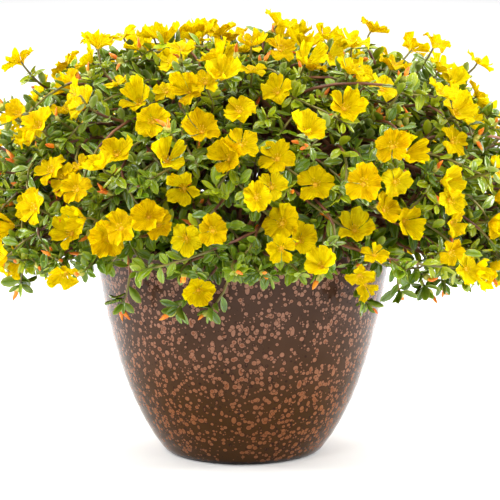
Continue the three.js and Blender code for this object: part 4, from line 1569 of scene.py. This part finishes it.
def addBoss(points, faces):  # the low boss that the filaments stand on
    radius, sides = stamen["boss"], stamen["bossSides"]
    points += [(0, 0, radius * stamen["bossTop"]), (0, 0, -radius * stamen["bossUnder"])]
    for k in range(sides):
        angle = k * 2 * math.pi / sides
        points.append((math.cos(angle) * radius, math.sin(angle) * radius, stamen["bossRim"]))
        here, after = 2 + k, 2 + (k + 1) % sides
        faces += [(0, here, after), (1, after, here)]


def addStamen(turn, lean, reach, points, faces):  # a thin filament with a small anther
    way = Vector((math.cos(turn) * math.sin(lean), math.sin(turn) * math.sin(lean), math.cos(lean)))
    root = Vector(raised(turn, 0) * stamen["rootRadius"] + upward * stamen["rootHeight"])
    tip = root + way * reach
    side = way.orthogonal().normalized()
    other = way.cross(side)
    first, sides = len(points), stamen["sides"]
    for k in range(sides):
        angle = k * 2 * math.pi / sides
        points.append(root + (side * math.cos(angle) + other * math.sin(angle)) * stamen["girth"])
        faces.append((first + k, first + (k + 1) % sides, first + sides))
    points.append(tip)
    faces.append(tuple(first + k for k in reversed(range(sides))))
    ball, corners = len(points), (side, other, -side, -other)
    points += [tip + corner * stamen["antherRadius"] for corner in corners]
    points += [tip + way * stamen["antherReach"], tip - way * stamen["antherReach"]]
    outer = ball + len(corners)
    for k in range(len(corners)):
        here, after = ball + k, ball + (k + 1) % len(corners)
        faces += [(here, after, outer), (after, here, outer + 1)]


def stamenMesh(index, draw):
    points, faces = [], []
    addBoss(points, faces)
    for i in range(stamen["count"]):
        least, more = stamen["lean"]
        lean = least + more * math.sqrt((i + 0.5) / stamen["count"])
        addStamen(i * goldenAngle, lean, stamen["length"] * varied(stamen["lengths"], draw), points, faces)
    return meshOf(f"stamens_{index}", points, faces)


def makeFlowers():
    chance = seededStream(flower["seed"])
    made = [flowerMeshes(i, shape, chance) for i, shape in enumerate(flower["shapes"])]
    petals = shelf("petals", [pair[0] for pair in made])
    throats = shelf("throats", [pair[1] for pair in made])
    tufts = shelf("tufts", [stamenMesh(i, chance) for i in range(len(made))])
    everyPlace = []
    for tint, places in sorted(flowerPlaces.items()):
        dealtPiece("petals_" + tint, places, petals, petalFinishes[tint])
        everyPlace += places
    dealtPiece("flower_throats", everyPlace, throats, petalFinishes["throat"])
    dealtPiece("stamens", everyPlace, tufts, livingFinishes["stamen"])
    for shapes in (petals, throats, tufts):
        clearShelf(shapes)


makeFlowers()
print("pieces: flowers")


# bud: a pale green base and a twisted orange tip
bud = {
    "base": {"start": -0.0005, "length": 0.0096, "width": 0.0050, "peak": 0.85},
    "tip": {"length": 0.0092, "width": 0.0037, "peak": 0.7},
    "tipFrom": 0.62,  # share of the base's length
    "shapes": ((0.15, 1.5), (0.55, 2.8), (-0.6, 4.2)),  # bend and twist of each tip
    "stations": (0.14, 0.34, 0.56, 0.78, 0.93),
    "sides": 6,
    "fullness": 0.7,
    "lobes": 3,
    "lobe": 0.22,
}


def spindle(name, sizes, bend, twist):  # a closed spindle along +X
    start, length, sides = sizes["start"], sizes["length"], bud["sides"]
    points, faces = [(start, 0, 0)], []
    for share in bud["stations"]:
        radius = sizes["width"] / 2 * math.sin(math.pi * share ** sizes["peak"]) ** bud["fullness"]
        for k in range(sides):
            angle = 2 * math.pi * k / sides + twist * share
            wide = radius * (1 + bud["lobe"] * math.cos(bud["lobes"] * angle - 2 * twist * share))
            lift = bend * length * share**2
            points.append((start + length * share, wide * math.cos(angle), wide * math.sin(angle) + lift))
    last = len(points)
    points.append((start + length, 0, bend * length))
    for k in range(sides):
        n = (k + 1) % sides
        faces.append((0, 1 + n, 1 + k))
        for row in range(len(bud["stations"]) - 1):
            a, b = 1 + sides * row, 1 + sides * (row + 1)
            faces.append((a + k, a + n, b + n, b + k))
        faces.append((last - sides + k, last - sides + n, last))
    return meshOf(name, points, faces)


def makeBuds():
    bases = [spindle(f"base_{i}", bud["base"], 0, 0) for i in range(len(bud["shapes"]))]
    tip = {"start": bud["base"]["length"] * bud["tipFrom"], **bud["tip"]}
    tips = [spindle(f"tip_{i}", tip, bend, twist) for i, (bend, twist) in enumerate(bud["shapes"])]
    for name, meshes, skin in (("bud_bases", bases, "bud_base"), ("bud_tips", tips, "bud_tip")):
        shapes = shelf(name, meshes)
        dealtPiece(name, budPlaces, shapes, livingFinishes[skin])
        clearShelf(shapes)


makeBuds()
print("pieces: buds")


# studio: a wide pale floor, a bright dome of light, and soft boxes
studio = {
    "floorSize": 40.0,
    "floor": {"Roughness": 0.9, "Base Color": (0.97, 0.97, 0.97, 1)},
    "worldLight": 0.34,
    "lights": {  # place, what it is aimed at, size across and along, power
        "key": ((-1.0, -2.2, 1.9), (0, 0, 0.25), (0.9, 0.9), 19.0),
        "fill": ((1.5, -2.0, 1.5), (0, 0, 0.25), (0.9, 0.9), 10.0),
        "over": ((0.0, -0.7, 2.4), (0, 0, 0.25), (1.4, 1.2), 36.0),
        "left": ((-1.7, -0.1, 0.8), (0, 0, 0.05), (0.5, 1.5), 42.0),
        "right": ((1.7, -0.1, 0.8), (0, 0, 0.05), (0.5, 1.5), 42.0),
        "backLeft": ((-1.3, 1.5, 0.6), (0, 0, 0.2), (0.8, 1.6), 14.0),
        "backRight": ((1.3, 1.5, 0.6), (0, 0, 0.2), (0.8, 1.6), 14.0),
        "ground": ((0.0, 6.0, 3.2), (0, 6.0, 0), (5.0, 11.0), 320.0),
    },
}


def makeStudio():
    half = studio["floorSize"] / 2
    corners = [(-half, -half, 0), (half, -half, 0), (half, half, 0), (-half, half, 0)]
    mesh = meshOf("floor", corners, [(0, 1, 2, 3)])
    mesh.materials.append(newFinish("floor_paper", studio["floor"])[0])
    newPiece("floor", mesh)
    world = bpy.data.worlds.new("studio")
    world.use_nodes = True
    sky = world.node_tree.nodes["Background"].inputs
    sky["Color"].default_value = (1, 1, 1, 1)
    sky["Strength"].default_value = studio["worldLight"]
    bpy.context.scene.world = world
    for name, (place, aim, size, power) in studio["lights"].items():
        lamp = bpy.data.lights.new(name, "AREA")
        lamp.shape = "RECTANGLE"
        lamp.size, lamp.size_y = size
        lamp.energy = power
        holder = newPiece(name, lamp)
        holder.location = place
        holder.rotation_euler = (Vector(aim) - Vector(place)).to_track_quat("-Z", "Y").to_euler()
    bpy.context.scene.view_settings.view_transform = "Standard"


# camera: a long lens, a little above the plant
camera = {"place": (0.0068, -2.300, 0.531), "tiltDown": 8.29, "lens": 172.4, "sensor": 36}


def makeCamera():
    eye = bpy.data.cameras.new("camera")
    eye.lens = camera["lens"]
    eye.sensor_width = camera["sensor"]
    holder = newPiece("camera", eye)
    holder.location = camera["place"]
    holder.rotation_euler = (math.radians(90 - camera["tiltDown"]), 0, 0)
    bpy.context.scene.camera = holder


makeStudio()
makeCamera()
print("studio: floor, lights, camera")
